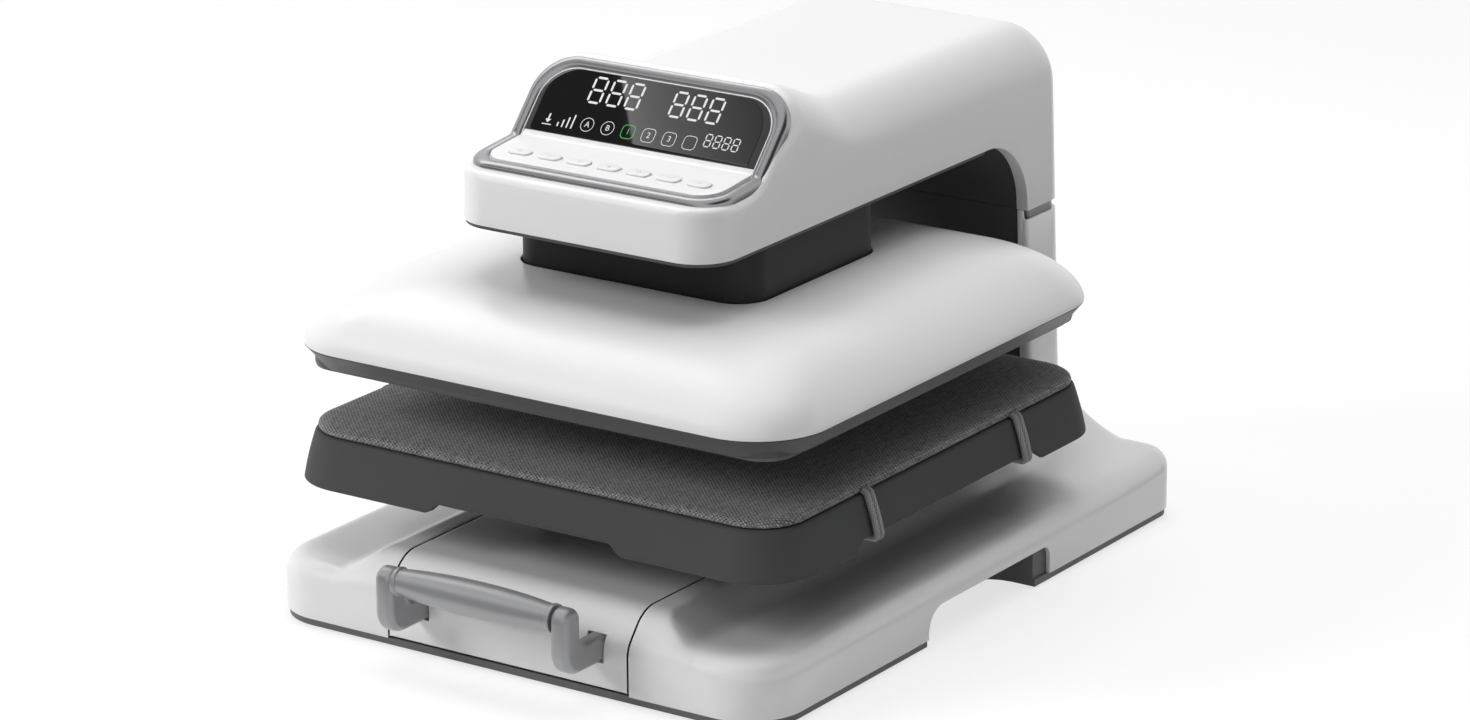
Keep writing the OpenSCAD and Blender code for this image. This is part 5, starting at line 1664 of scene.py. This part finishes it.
        def wall(row: list[Point], low: float) -> list[list[Point]]:
            """Rows of an end wall, which leans with the sides, from its foot up to just under a section.

            Args:
                row: Section at the end.
                low: Height of the foot.

            Returns:
                Rows from the foot up.
            """
            spread_out = row[1][0] / row[n][0] - 1
            made = []
            for k in steps:
                share = k / self.wall_n
                grow = 1 + spread_out * (1 - share)
                made.append([(x * grow, y, low + (z - low) * share) for x, y, z in row])
            return made

        front, rear = wall(rows[0], self.low), wall(rows[-1], self.seam_z)
        rows = front + rows + rear[::-1]
        count = len(rows[0])
        ends = (self.wall_n - 1, len(rows) - 1 - self.wall_n)

        def skip(i: int, j: int) -> bool:
            """Leaves open the corner cells that have no area and what the control panel covers.

            Args:
                i, j: Cell of the grid.

            Returns:
                Whether it is left open.
            """
            corner = i < n or i >= count - 1 - n
            spots = [rows[j + b][i + a] for a in (0, 1) for b in (0, 1)]
            return (corner and (j <= ends[0] or j >= ends[1])) or all(opening(x, y) for x, y, _ in spots)

        mould = Mould()
        mould.sheet(count - 1, len(rows) - 1, lambda i, j: rows[j][i], skip)
        mould.face_out((0, 60, self.low + 10))
        seat = Seat(Body.FRAME.value, Slot.WHITE, ("head_shell",))
        seat.take(mould, "head_moulding", [WHITE], Wall(self.skin, edge=1.2, sharp=50, even=False))

    def sleeve(self) -> None:
        """Builds the dark neck sleeve with a collar under the head."""
        side = spread(0.0, 1.0, 4)[1:-1]
        hx, hy, r = self.neck_w / 2, self.neck_d / 2, self.neck_r
        foot, top, edge, out, skin = self.neck_low, self.neck_high, self.neck_edge, self.collar, self.skin
        collar_top = self.low + self.collar_h
        levels = [(-edge, foot), (0, foot + edge), (0, self.low), (out, self.low), (out, collar_top),
                  (0, collar_top), (0, top), (-skin, top), (-skin, foot), (-edge, foot)]
        mould = Mould()
        mould.rings([level_ring(hx + g, hy + g, r + g, z, 20, side) for g, z in levels])
        mould.orient()
        seat = Seat(Body.FRAME.value, Slot.CHARCOAL, ("neck_sleeve",))
        seat.take(mould, "neck_tube", [CHARCOAL], Wall(sharp=40))

    def column(self) -> None:
        """Builds the column's white cover: a C in plan with rims at its open front and cut-outs behind."""
        top = self.seam_z - self.seam_h
        levels = [self.column_z, 90.0, *self.cut_z, 150.0, 180.0, top]
        cuts = sorted([*self.inlet, *self.switch, -60.0, 0.0, 60.0], reverse=True)

        def plan(z: float) -> list[Flat]:
            """Outline at a height, from the right rim round the back to the left rim.

            Args:
                z: The height.

            Returns:
                Points.
            """
            half, r0, r1 = self.half(z), self.rim_r, self.column_r
            right = [(half - self.rim_w, self.column_front), (half - r0 - 1, self.column_front)]
            right += arc(half - r0, self.column_front + r0, r0, 270, 360, 6)
            right += [(half, self.column_front + 12)] + arc(half - r1, self.back - r1, r1, 0, 90, 14)
            return right + [(x, self.back) for x in cuts] + [(-x, y) for x, y in reversed(right)]

        rows = [plan(z) for z in levels]
        first = len(rows[0]) // 2 - len(cuts) // 2

        def skip(i: int, j: int) -> bool:
            """Leaves the two cut-outs open.

            Args:
                i, j: Cell of the grid.

            Returns:
                Whether it is left open.
            """
            if levels[j] != self.cut_z[0] or not first <= i < first + len(cuts) - 1:
                return False
            middle = (rows[j][i][0] + rows[j][i + 1][0]) / 2
            return any(low < middle < high for low, high in (self.inlet, self.switch))

        last = len(rows[0]) - 1

        def place(i: int, j: int) -> Point:
            """Point of the cover, whose front rims reach up past the trim to the head."""
            rim = min(i, last - i) < 2 and j == len(levels) - 1
            return (*rows[j][i], self.seam_z - self.rim_gap if rim else levels[j])

        mould = Mould()
        mould.sheet(last, len(levels) - 1, place, skip)
        mould.face_out((0, self.column_front + 20, 150))
        seat = Seat(Body.FRAME.value, Slot.WHITE, ("column_cover",))
        seat.take(mould, "column_moulding", [WHITE], Wall(self.skin, edge=0.6, segments=2, sharp=50))

    def build(self, opening: Callable[[float, float], bool]) -> None:
        """Builds head, neck and column.

        Args:
            opening: Says which plan points lie well under the control panel.
        """
        self.shell(opening)
        self.sleeve()
        self.column()


@dataclass(frozen=True)
class ControlPanel:
    """Folded control panel: silver bezel, dark display, white key ledge and seven keys."""

    head: Head
    half: float = 103.0
    back: float = -27.5
    low_r: float = 22.0
    high_r: float = 30.0
    fold_r: float = 4.0
    band: float = 10.0
    bezel_sink: float = 1.5
    line_sink: float = 2.5
    skin: float = 3.0
    key_count: int = 7
    key_pitch: float = 24.1
    key_y: float = -100.0
    key_w: float = 17.0
    key_d: float = 9.5
    key_r: float = 4.25
    key_rise: float = 1.2
    key_gap: float = 0.35
    key_edge: float = 0.7
    glass: float = 0.3
    mark_sink: float = 0.02
    mark_t: float = 0.06
    print_t: float = 0.04
    digit_pitch: float = 0.735
    digit_rows: tuple[tuple[float, float, int, float], ...] = (
        (-54.7, 30.0, 3, 20.4), (11.3, 30.0, 3, 19.8), (47.5, 13.3, 4, 9.9))

    @property
    def tilt(self) -> float:
        """Tilt of the display in radians."""
        return math.radians(self.head.display_tilt)

    @property
    def fold_reach(self) -> float:
        """Length along each plane over which the fold is round."""
        return self.fold_r * math.tan(math.radians(self.head.display_tilt - self.head.ledge_tilt) / 2)

    def surface(self, y: float) -> tuple[float, float]:
        """Height and slope angle of the panel's surface at y.

        Args:
            y: Place along the panel.

        Returns:
            Height, and angle in radians.
        """
        head = self.head
        low, high = math.radians(head.ledge_tilt), self.tilt
        start = head.fold_y - self.fold_reach * math.cos(low)
        stop = head.fold_y + self.fold_reach * math.cos(high)
        if y <= start:
            return head.ledge(y), low
        if y >= stop:
            return head.display(y), high
        turn = math.asin(min(1.0, (y - start) / self.fold_r + math.sin(low)))
        middle = head.ledge(start) + self.fold_r * math.cos(low)
        return middle - self.fold_r * math.cos(turn), turn

    def lift(self, x: float, y: float, h: float) -> Point:
        """Point at a height over the surface, measured square to it."""
        z, turn = self.surface(y)
        return (x, y - h * math.sin(turn), z + h * math.cos(turn))

    def limits(self, d: float) -> tuple[float, float, float, float, float]:
        """Half width, ends along y, lower radius and upper radius of the outline drawn in by d.

        Args:
            d: The inset.

        Returns:
            The five sizes.
        """
        y0 = self.head.ledge_front + d
        y1 = self.back - d * math.cos(self.tilt)
        return self.half - d, y0, y1, self.low_r - d / 2, self.high_r - d / 2

    def reach(self, y: float, d: float) -> float:
        """Half width at y of the outline drawn in by d.

        Args:
            y: Place along the panel.
            d: The inset.

        Returns:
            Half width.
        """
        half, y0, y1, r, rx = self.limits(d)
        ry = rx * math.cos(self.tilt)
        return half - fall(-y, r, -y0) - fall(y, ry, y1) * rx / ry

    def inside(self, x: float, y: float, d: float = 3.0) -> bool:
        """Whether a plan point lies inside the outline drawn in by d."""
        _, y0, y1, _, _ = self.limits(d)
        return y0 < y < y1 and abs(x) < self.reach(y, d)

    def outline(self, d: float) -> list[Flat]:
        """Outline drawn in by d, from the front of the right side round by the back.

        Args:
            d: The inset.

        Returns:
            Points.
        """
        half, y0, y1, r, rx = self.limits(d)
        ry = rx * math.cos(self.tilt)
        side = [(half, y) for y in spread(y0 + r, y1 - ry, 44)[1:-1]]
        turns = spread(0, math.pi / 2, 18)
        high = [(half - rx + rx * math.cos(a), y1 - ry + ry * math.sin(a)) for a in turns]
        low = arc(half - r, y0 + r, r, 270, 360, 14)
        rear = [(x, y1) for x in spread(half - rx, rx - half, 12)[1:-1]]
        nose = [(x, y0) for x in spread(r - half, half - r, 12)[1:-1]]
        left_high = [(-x, y) for x, y in reversed(high)]
        left_low = [(-x, y) for x, y in reversed(low)]
        return side + high + rear + left_high + [(-x, y) for x, y in reversed(side)] + left_low + nose + low

    def band_piece(self, profile: Sequence[Flat], sink: float) -> Mould:
        """Ring round the panel.

        Args:
            profile: Closed profile of (inset, height over the surface).
            sink: How far the ring lies lower along the key ledge than along the display.

        Returns:
            The ring.
        """
        fold = self.head.fold_y

        def lower(y: float) -> float:
            """Drop of the ring at y."""
            return sink * ease((fold + 1 - y) / 4)

        stack = [[self.lift(x, y, h - lower(y)) for x, y in self.outline(d)] for d, h in profile]
        mould = Mould()
        mould.rings(stack + stack[:1])
        mould.orient()
        return mould

    def bezel(self) -> None:
        """Builds the silver bezel and the bright line along its inner edge."""
        w = self.band
        profile = [(0, -6), (0, -1.8), (0.2, -1.0), (0.8, -0.1), (1.8, 0.7), (3.0, 1.2), (4.4, 1.4),
                   (5.8, 1.35), (7.2, 1.05), (w - 1.5, 0.4), (w - 0.9, -0.4), (w - 0.9, -5), (2.5, -6)]
        seat = Seat(Body.FRAME.value, Slot.TRIM, ("control_bezel",))
        seat.take(self.band_piece(profile, self.bezel_sink), "panel_bezel", [BEZEL], Wall(sharp=60))
        line = [(w - 0.95, -3), (w - 0.95, 0.35), (w - 0.75, 0.6), (w - 0.4, 0.65), (w - 0.15, 0.55),
                (w - 0.05, 0.3), (w - 0.05, -3)]
        seat = Seat(Body.FRAME.value, Slot.TRIM)
        seat.take(self.band_piece(line, self.line_sink), "panel_line", [RIM], Wall(sharp=50))

    def plate(self, low: float, high: float, d: float, h: float, rows: Sequence[float]) -> Mould:
        """Skin of the panel between two places along y.

        Args:
            low, high: Ends along y.
            d: Inset from the panel's outline.
            h: Height over the surface.
            rows: Places of the rows between the ends.

        Returns:
            The skin.
        """
        ys = sorted({low, high, *(y for y in rows if low < y < high)})
        across = spread(-1, 1, 28)
        mould = Mould()
        mould.sheet(28, len(ys) - 1, lambda i, j: self.lift(across[i] * self.reach(ys[j], d), ys[j], h))
        mould.face_out((0, self.head.fold_y, self.head.low - 300))
        return mould

    def key_place(self, number: int) -> Matrix:
        """Place of a key on the ledge.

        Args:
            number: Number of the key, from 1.

        Returns:
            Its place.
        """
        x = (number - (self.key_count + 1) / 2) * self.key_pitch
        z, turn = self.surface(self.key_y)
        return Matrix.Translation((x, self.key_y, z)) @ Matrix.Rotation(turn, 4, "X")

    def key_outline(self, grow: float) -> list[Flat]:
        """Outline of a key grown by a gap."""
        half, deep, r = self.key_w / 2 + grow, self.key_d / 2 + grow, self.key_r + grow
        return round_rect(half, -deep, deep, r, r, 10)

    def plates(self) -> None:
        """Builds the white key ledge with its holes and the dark display window."""
        d = self.band + 0.05
        _, y0, y1, r, rx = self.limits(d)
        ry = rx * math.cos(self.tilt)
        seam = self.head.fold_y + self.fold_reach + 1.0
        rows = [y0 + e for e in quarter(r, 10)] + spread(-100, -76, 8) + spread(-76, seam, 16)
        ledge = self.plate(y0, seam, d, 0.0, rows)
        seat = Seat(Body.FRAME.value, Slot.WHITE, ("key_panel",))
        holes = Mould()
        for number in range(1, self.key_count + 1):
            holes.prism(self.key_outline(self.key_gap), -9, 9, self.key_place(number))
        holes.orient()
        thick = ledge.solid("ledge")
        Wall(self.skin).apply(thick)
        ledge = Mould.from_piece(thick)
        ledge.carve(holes)
        seat.take(ledge, "key_ledge", [WHITE], Wall(edge=0.25, segments=2, sharp=50))
        rows = spread(seam, y1 - ry, 10) + [y1 - e for e in quarter(ry, 16)]
        glass = self.plate(seam + 0.1, y1, d, self.glass, rows)
        seat = Seat(Body.FRAME.value, Slot.DISPLAY, ("display_window",))
        seat.take(glass, "display_glass", [GLASS], Wall(self.skin, edge=0.2, segments=2, sharp=50))

    def keys(self) -> None:
        """Builds the seven keys with a faint generic mark on each."""
        for number in range(1, self.key_count + 1):
            place = self.key_place(number)
            mould = Mould()
            mould.prism(self.key_outline(0), -3, self.key_rise, place, self.key_edge, 4)
            mould.orient()
            body = f"key_{number}"
            Seat(body, Slot.WHITE, (body,)).take(mould, f"{body}_cap", [KEY], Wall(sharp=40))
            marks = Glyphs(place, self.key_rise - self.mark_sink, self.print_t)
            marks.key_mark(number)
            Seat(body, Slot.TRIM).take(marks.mould, f"{body}_mark", [MARK], Wall(sharp=40))

    def lights(self) -> None:
        """Builds the generic lit marks of the display."""
        z = self.head.ledge(self.head.fold_y)
        plane = Matrix.Translation((0, self.head.fold_y, z)) @ Matrix.Rotation(self.tilt, 4, "X")
        marks, lit = (Glyphs(plane, self.glass - self.mark_sink, self.mark_t) for _ in range(2))
        for x, y, count, high in self.digit_rows:
            marks.digits(x, y, count, high, high * self.digit_pitch)
        bar_x, bar_y, bar_w, bar_h, bar_pitch, bar_step = -69.4, 9.4, 1.1, 3.2, 3.75, 2.4
        for k in range(4):
            marks.box(bar_x + bar_pitch * k, bar_y, bar_w, bar_h + bar_step * k)
        marks.arrow(-77.6, 13.2, 4.6)
        row, pitch, first, radius = 14.3, 16.62, -46.0, 5.2
        corner, line, type_size = 0.62, 0.42, 6.0
        for k, word in enumerate(("A", "B", "1", "2", "3", "")):
            pen = lit if word == "1" else marks
            x = first + pitch * k
            pen.ring(x, row, radius, radius if word in ("A", "B") else radius * corner, line)
            if word:
                pen.letter(word, x, row, type_size)
        for pen, name, finish in ((marks, "display_marks", LIT), (lit, "display_mark_on", LIT_GREEN)):
            Seat(Body.FRAME.value, Slot.DISPLAY).take(pen.mould, name, [finish], Wall(sharp=40))

    def build(self) -> None:
        """Builds the whole panel."""
        self.bezel()
        self.plates()
        self.keys()
        self.lights()


class Glyphs:
    """Thin marks laid on a plane."""

    def __init__(self, place: Matrix, low: float, thick: float) -> None:
        """Starts an empty set of marks.

        Args:
            place: The plane.
            low: Height of the marks' lower face over the plane.
            thick: Their thickness.
        """
        self.place = place
        self.low = low
        self.high = low + thick
        self.mould = Mould()

    def shape(self, outline: Sequence[Flat]) -> None:
        """Adds a filled outline."""
        self.mould.prism(outline, self.low, self.high, self.place)

    def box(self, x: float, y: float, w: float, h: float) -> None:
        """Adds an upright box by its lower left corner."""
        self.shape([(x, y), (x + w, y), (x + w, y + h), (x, y + h)])

    def bar(self, a: Flat, b: Flat, w: float) -> None:
        """Adds a straight stroke with pointed ends.

        Args:
            a, b: Ends.
            w: Width.
        """
        start, stop = Vector(a), Vector(b)
        way = (stop - start).normalized() * (w / 2)
        side = Vector((-way.y, way.x))
        points = [start, start + way - side, stop - way - side, stop, stop - way + side, start + way + side]
        self.shape([tuple(p) for p in points])

    def ring(self, x: float, y: float, half: float, r: float, w: float) -> None:
        """Adds a ring: a circle where r is half its size, else a square with round corners.

        Args:
            x, y: Middle.
            half: Half its size.
            r: Corner radius.
            w: Width of the line.
        """
        stack = []
        for grow, z in ((0, self.low), (0, self.high), (-w, self.high), (-w, self.low), (0, self.low)):
            flat = round_rect(half + grow, -half - grow, half + grow, r + grow, r + grow, 10)
            stack.append([tuple(self.place @ Vector((x + px, y + py, z))) for px, py in flat])
        self.mould.rings(stack)

    def digits(self, x: float, y: float, count: int, high: float, pitch: float) -> None:
        """Adds a row of seven-bar eights.

        Args:
            x, y: Lower left corner of the row.
            count: Number of digits.
            high: Height of a digit.
            pitch: Step from digit to digit.
        """
        w, gap = high * 0.08, high * 0.04
        wide = high * 0.56
        for k in range(count):
            x0, x1 = x + pitch * k + w / 2, x + pitch * k + wide - w / 2
            levels = [y + w / 2, y + high / 2, y + high - w / 2]
            for level in levels:
                self.bar((x0 + gap, level), (x1 - gap, level), w)
            for side in (x0, x1):
                for low, top in zip(levels, levels[1:]):
                    self.bar((side, low + gap), (side, top - gap), w)

    def arrow(self, x: float, y: float, size: float) -> None:
        """Adds a down arrow over a plain line.

        Args:
            x, y: Foot of the shaft.
            size: Length of the shaft.
        """
        self.box(x - size * 0.14, y, size * 0.28, size)
        self.shape([(x - size * 0.5, y + size * 0.1), (x, y - size * 0.5), (x + size * 0.5, y + size * 0.1)])
        self.box(x - size * 0.8, y - size * 0.85, size * 1.6, size * 0.16)

    def letter(self, word: str, x: float, y: float, size: float) -> None:
        """Adds a plain letter or number, centred.

        Args:
            word: Letter or number.
            x, y: Middle.
            size: Size of the type.
        """
        curve = bpy.data.curves.new("letter", "FONT")
        curve.body = word
        curve.size = size
        curve.align_x = "CENTER"
        curve.align_y = "CENTER"
        curve.extrude = (self.high - self.low) / 2
        text = bpy.data.objects.new("letter", curve)
        bpy.context.scene.collection.objects.link(text)
        graph = bpy.context.evaluated_depsgraph_get()
        graph.update()
        mesh = bpy.data.meshes.new_from_object(text.evaluated_get(graph))
        shift = Matrix.Translation((x, y, (self.high + self.low) / 2))
        mesh.transform(self.place @ shift)
        self.mould.bm.from_mesh(mesh)
        bpy.data.objects.remove(text)
        bpy.data.curves.remove(curve)
        bpy.data.meshes.remove(mesh)

    def key_mark(self, number: int) -> None:
        """Adds the plain mark of a key.

        Args:
            number: Number of the key, from 1.
        """
        size, w = 1.9, 0.3
        if number in (1, 5):
            self.ring(0, 0, size * 0.8, size * 0.8, w)
        if number in (3, 7):
            self.box(-w / 2, -size * 0.7, w, size * 1.4)
        if number in (3, 6, 7):
            self.box(-size * 0.8, -w / 2, size * 0.65, w)
            self.box(size * 0.15, -w / 2, size * 0.65, w)
        if number == 2:
            for x in (-0.6, 0.6):
                self.box(x - w / 2, -size * 0.6, w, size * 1.2)
        if number == 4:
            self.shape([(-size * 0.8, -size * 0.5), (size * 0.8, -size * 0.5), (0, size * 0.7)])


class Innards:
    """CAD nodes that show as they are, each with its own finish."""

    finishes: dict[Finish, tuple[str, ...]] = {
        SKIRT: ("head_belly", "column_panel"),
        PAN: ("base_pan",),
        ZINC: ("pan_screws", "drawer_chassis", "heating_element"),
        STEEL: ("rail_outer_left", "rail_outer_right", "rail_middle_left", "rail_middle_right",
                "rail_inner_left", "rail_inner_right", "guide_plate", "drive_motor", "screw_bearing",
                "lead_screw", "press_ram", "guide_rods", "pressure_plate"),
        BRASS: ("guide_bushes", "screw_nut"),
        TRAY: ("tray_pedestal",),
        SEAM: ("column_trim",),
        BOARD: ("control_board", "power_board"),
        PAINT: ("c_frame", "gearbox"),
        FIBRE: ("insulation_board",),
        HOT_PLATE: ("heat_plate",),
        BLACK: ("mains_inlet", "switch_housing", "power_rocker"),
    }

    def build(self) -> None:
        """Gives every carried node its finish."""
        for finish, names in self.finishes.items():
            for name in names:
                node = bpy.data.objects[name]
                if not node.data.materials:
                    node.data.materials.append(None)
                for place in node.material_slots:
                    place.material = finish.material()
            log.info("%s on %d nodes", finish.name, len(names))


@dataclass(frozen=True)
class Lamp:
    """Soft square lamp, aimed at a point, in metres and watts."""

    name: str
    place: Point
    aim: Point
    size: float
    power: float

    def hang(self) -> None:
        """Adds the lamp to the scene."""
        data = bpy.data.lights.new(self.name, "AREA")
        data.shape = "SQUARE"
        data.size = self.size
        data.energy = self.power
        lamp = bpy.data.objects.new(self.name, data)
        way = Vector(self.aim) - Vector(self.place)
        turn = way.to_track_quat("-Z", "Y").to_matrix().to_4x4()
        lamp.matrix_world = Matrix.Translation(self.place) @ turn
        lamp.visible_glossy = False
        bpy.context.scene.collection.objects.link(lamp)


@dataclass(frozen=True)
class Card:
    """Studio card that only reflections show, dark or lit, in metres.

    It faces its aim, turned by roll in degrees. near and far are its light at its left edge and at its
    right edge, seen from the aim, and fade is the power of the change between them.
    """

    name: str
    place: Point
    aim: Point
    width: float
    height: float
    near: float = 0.0
    far: float = 0.0
    roll: float = 0.0
    fade: float = 1.0

    def hang(self) -> None:
        """Adds the card to the studio."""
        mould = Mould()
        bmesh.ops.create_grid(mould.bm, x_segments=1, y_segments=1, size=0.5, calc_uvs=True)
        way = Vector(self.aim) - Vector(self.place)
        roll = Matrix.Rotation(math.radians(self.roll), 4, "Z")
        turn = way.to_track_quat("Z", "Y").to_matrix().to_4x4() @ roll
        grow = Matrix.Diagonal((self.width, self.height, 1.0, 1.0))
        place = Matrix.Translation(self.place) @ turn @ grow
        bmesh.ops.transform(mould.bm, matrix=place, verts=mould.bm.verts[:])
        mould.to_press_axis()
        card = mould.solid(self.name)
        for kind in ("camera", "diffuse", "transmission", "shadow", "volume_scatter"):
            setattr(card, f"visible_{kind}", False)
        made, graph = new_material(self.name)
        spot = graph.node("ShaderNodeUVMap").outputs[0]
        across = graph.node("ShaderNodeSeparateXYZ", {0: spot}).outputs[0]
        light = graph.range(graph.math("POWER", across, self.fade), self.near, self.far)
        graph.dress({"Base Color": grey(0.0), "Specular IOR Level": 0.0,
                     "Emission Color": grey(1.0), "Emission Strength": light})
        card.data.materials.append(made)


@dataclass(frozen=True)
class Studio:
    """Camera, lamps, cards, floor and background."""

    eye: Point = (2.0219, -2.9135, 1.3025)
    target: Point = (0.03025, -0.01665, 0.16366)
    lens: float = 133.68
    roll: float = -0.47
    sensor: float = 36.0
    far_clip: float = 50.0
    ambient: float = 0.19
    floor_glow: float = 0.72
    floor_tone: float = 0.34
    floor_bounce: float = 0.9
    floor_roughness: float = 0.9
    floor_half: float = 6000.0
    lamps: tuple[Lamp, ...] = (
        Lamp("top", (-0.3, 0.2, 3.0), (0.0, 0.0, 0.2), 2.2, 42.0),
        Lamp("front_left", (-2.4, -2.6, 2.1), (0.0, 0.0, 0.15), 1.6, 73.0),
        Lamp("left", (-3.2, 0.0, 1.4), (0.0, 0.0, 0.15), 1.8, 14.0),
        Lamp("right", (1.2, 0.5, 2.8), (0.0, 0.0, 0.15), 1.6, 14.0),
    )

    cards: tuple[Card, ...] = (
        Card("right_flag", (0.72, 0.55, 0.002), (0.72, 0.55, 1.0), 0.84, 1.9, 0.03, 0.03),
        Card("front_flag", (-0.15, -0.8, 0.002), (-0.15, -0.8, 1.0), 1.3, 0.76, 0.15, 0.15),
        Card("low_flag", (-1.3, -1.9, 0.55), (0.0, -0.27, 0.1), 2.6, 1.1, 0.2, 0.2),
        Card("high_flag", (1.16, -0.2, 1.4), (0.08, -0.06, 0.34), 2.0, 1.6, 0.04, 0.04),
        Card("strip_card", (-0.98, 0.4, 1.43), (0.0, -0.27, 0.07), 1.5, 0.5, 3.0, 3.0),
        Card("lit_card", (-0.7851, -0.5795, 1.5157), (0.0524, -0.061, 0.3844), 0.18, 0.8, 3.4, 0.05,
             109.9, 0.5),
        Card("dark_card", (-0.9727, -0.5996, 1.3675), (-0.1352, -0.0811, 0.2362), 0.30, 0.8, roll=109.9),
    )

    def camera(self) -> None:
        """Places the camera at the photograph's viewing angle."""
        data = bpy.data.cameras.new("camera")
        data.lens = self.lens
        data.sensor_width = self.sensor
        data.clip_end = self.far_clip
        cam = bpy.data.objects.new("camera", data)
        look = Vector(self.target) - Vector(self.eye)
        roll = Euler((0, 0, math.radians(self.roll))).to_matrix()
        cam.matrix_world = (look.to_track_quat("-Z", "Y").to_matrix() @ roll).to_4x4()
        cam.location = self.eye
        bpy.context.scene.collection.objects.link(cam)
        bpy.context.scene.camera = cam

    def sky(self) -> None:
        """Makes the world white to the eye and in reflections, and a soft fill for everything else."""
        world = bpy.data.worlds.new("studio")
        bpy.context.scene.world = world
        world.use_nodes = True
        graph = Graph(world.node_tree)
        light = graph.range(graph.seen(), self.ambient, 1.0)
        graph.feed(world.node_tree.nodes["Background"], {"Color": grey(1.0), "Strength": light})

    def floor(self) -> None:
        """Lays the floor, white to the eye where nothing shades it."""
        mould = Mould()
        bmesh.ops.create_grid(mould.bm, x_segments=1, y_segments=1, size=self.floor_half)
        floor = mould.solid("floor")
        made, graph = new_material("floor")
        seen = graph.seen()
        tone = graph.blend("MIX", seen, grey(self.floor_bounce), grey(self.floor_tone))
        glow = graph.math("MULTIPLY", seen, self.floor_glow)
        graph.dress({"Base Color": tone, "Roughness": self.floor_roughness, "Specular IOR Level": 0.0,
                     "Emission Color": grey(1.0), "Emission Strength": glow})
        floor.data.materials.append(made)

    def build(self) -> None:
        """Sets the whole studio up."""
        self.camera()
        self.sky()
        self.floor()
        for hung in (*self.lamps, *self.cards):
            hung.hang()
        bpy.context.scene.view_settings.view_transform = "Standard"


def main() -> None:
    """Builds the press and the studio."""
    logging.basicConfig(level=logging.INFO, format="%(message)s")
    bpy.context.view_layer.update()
    base = Base()
    base.build()
    Drawer(base).build()
    LowerPlaten().build()
    UpperPlaten().build()
    head = Head()
    panel = ControlPanel(head)
    head.build(panel.inside)
    panel.build()
    Innards().build()
    Studio().build()
    log.info("sizes written")


if __name__ == "__main__":
    main()
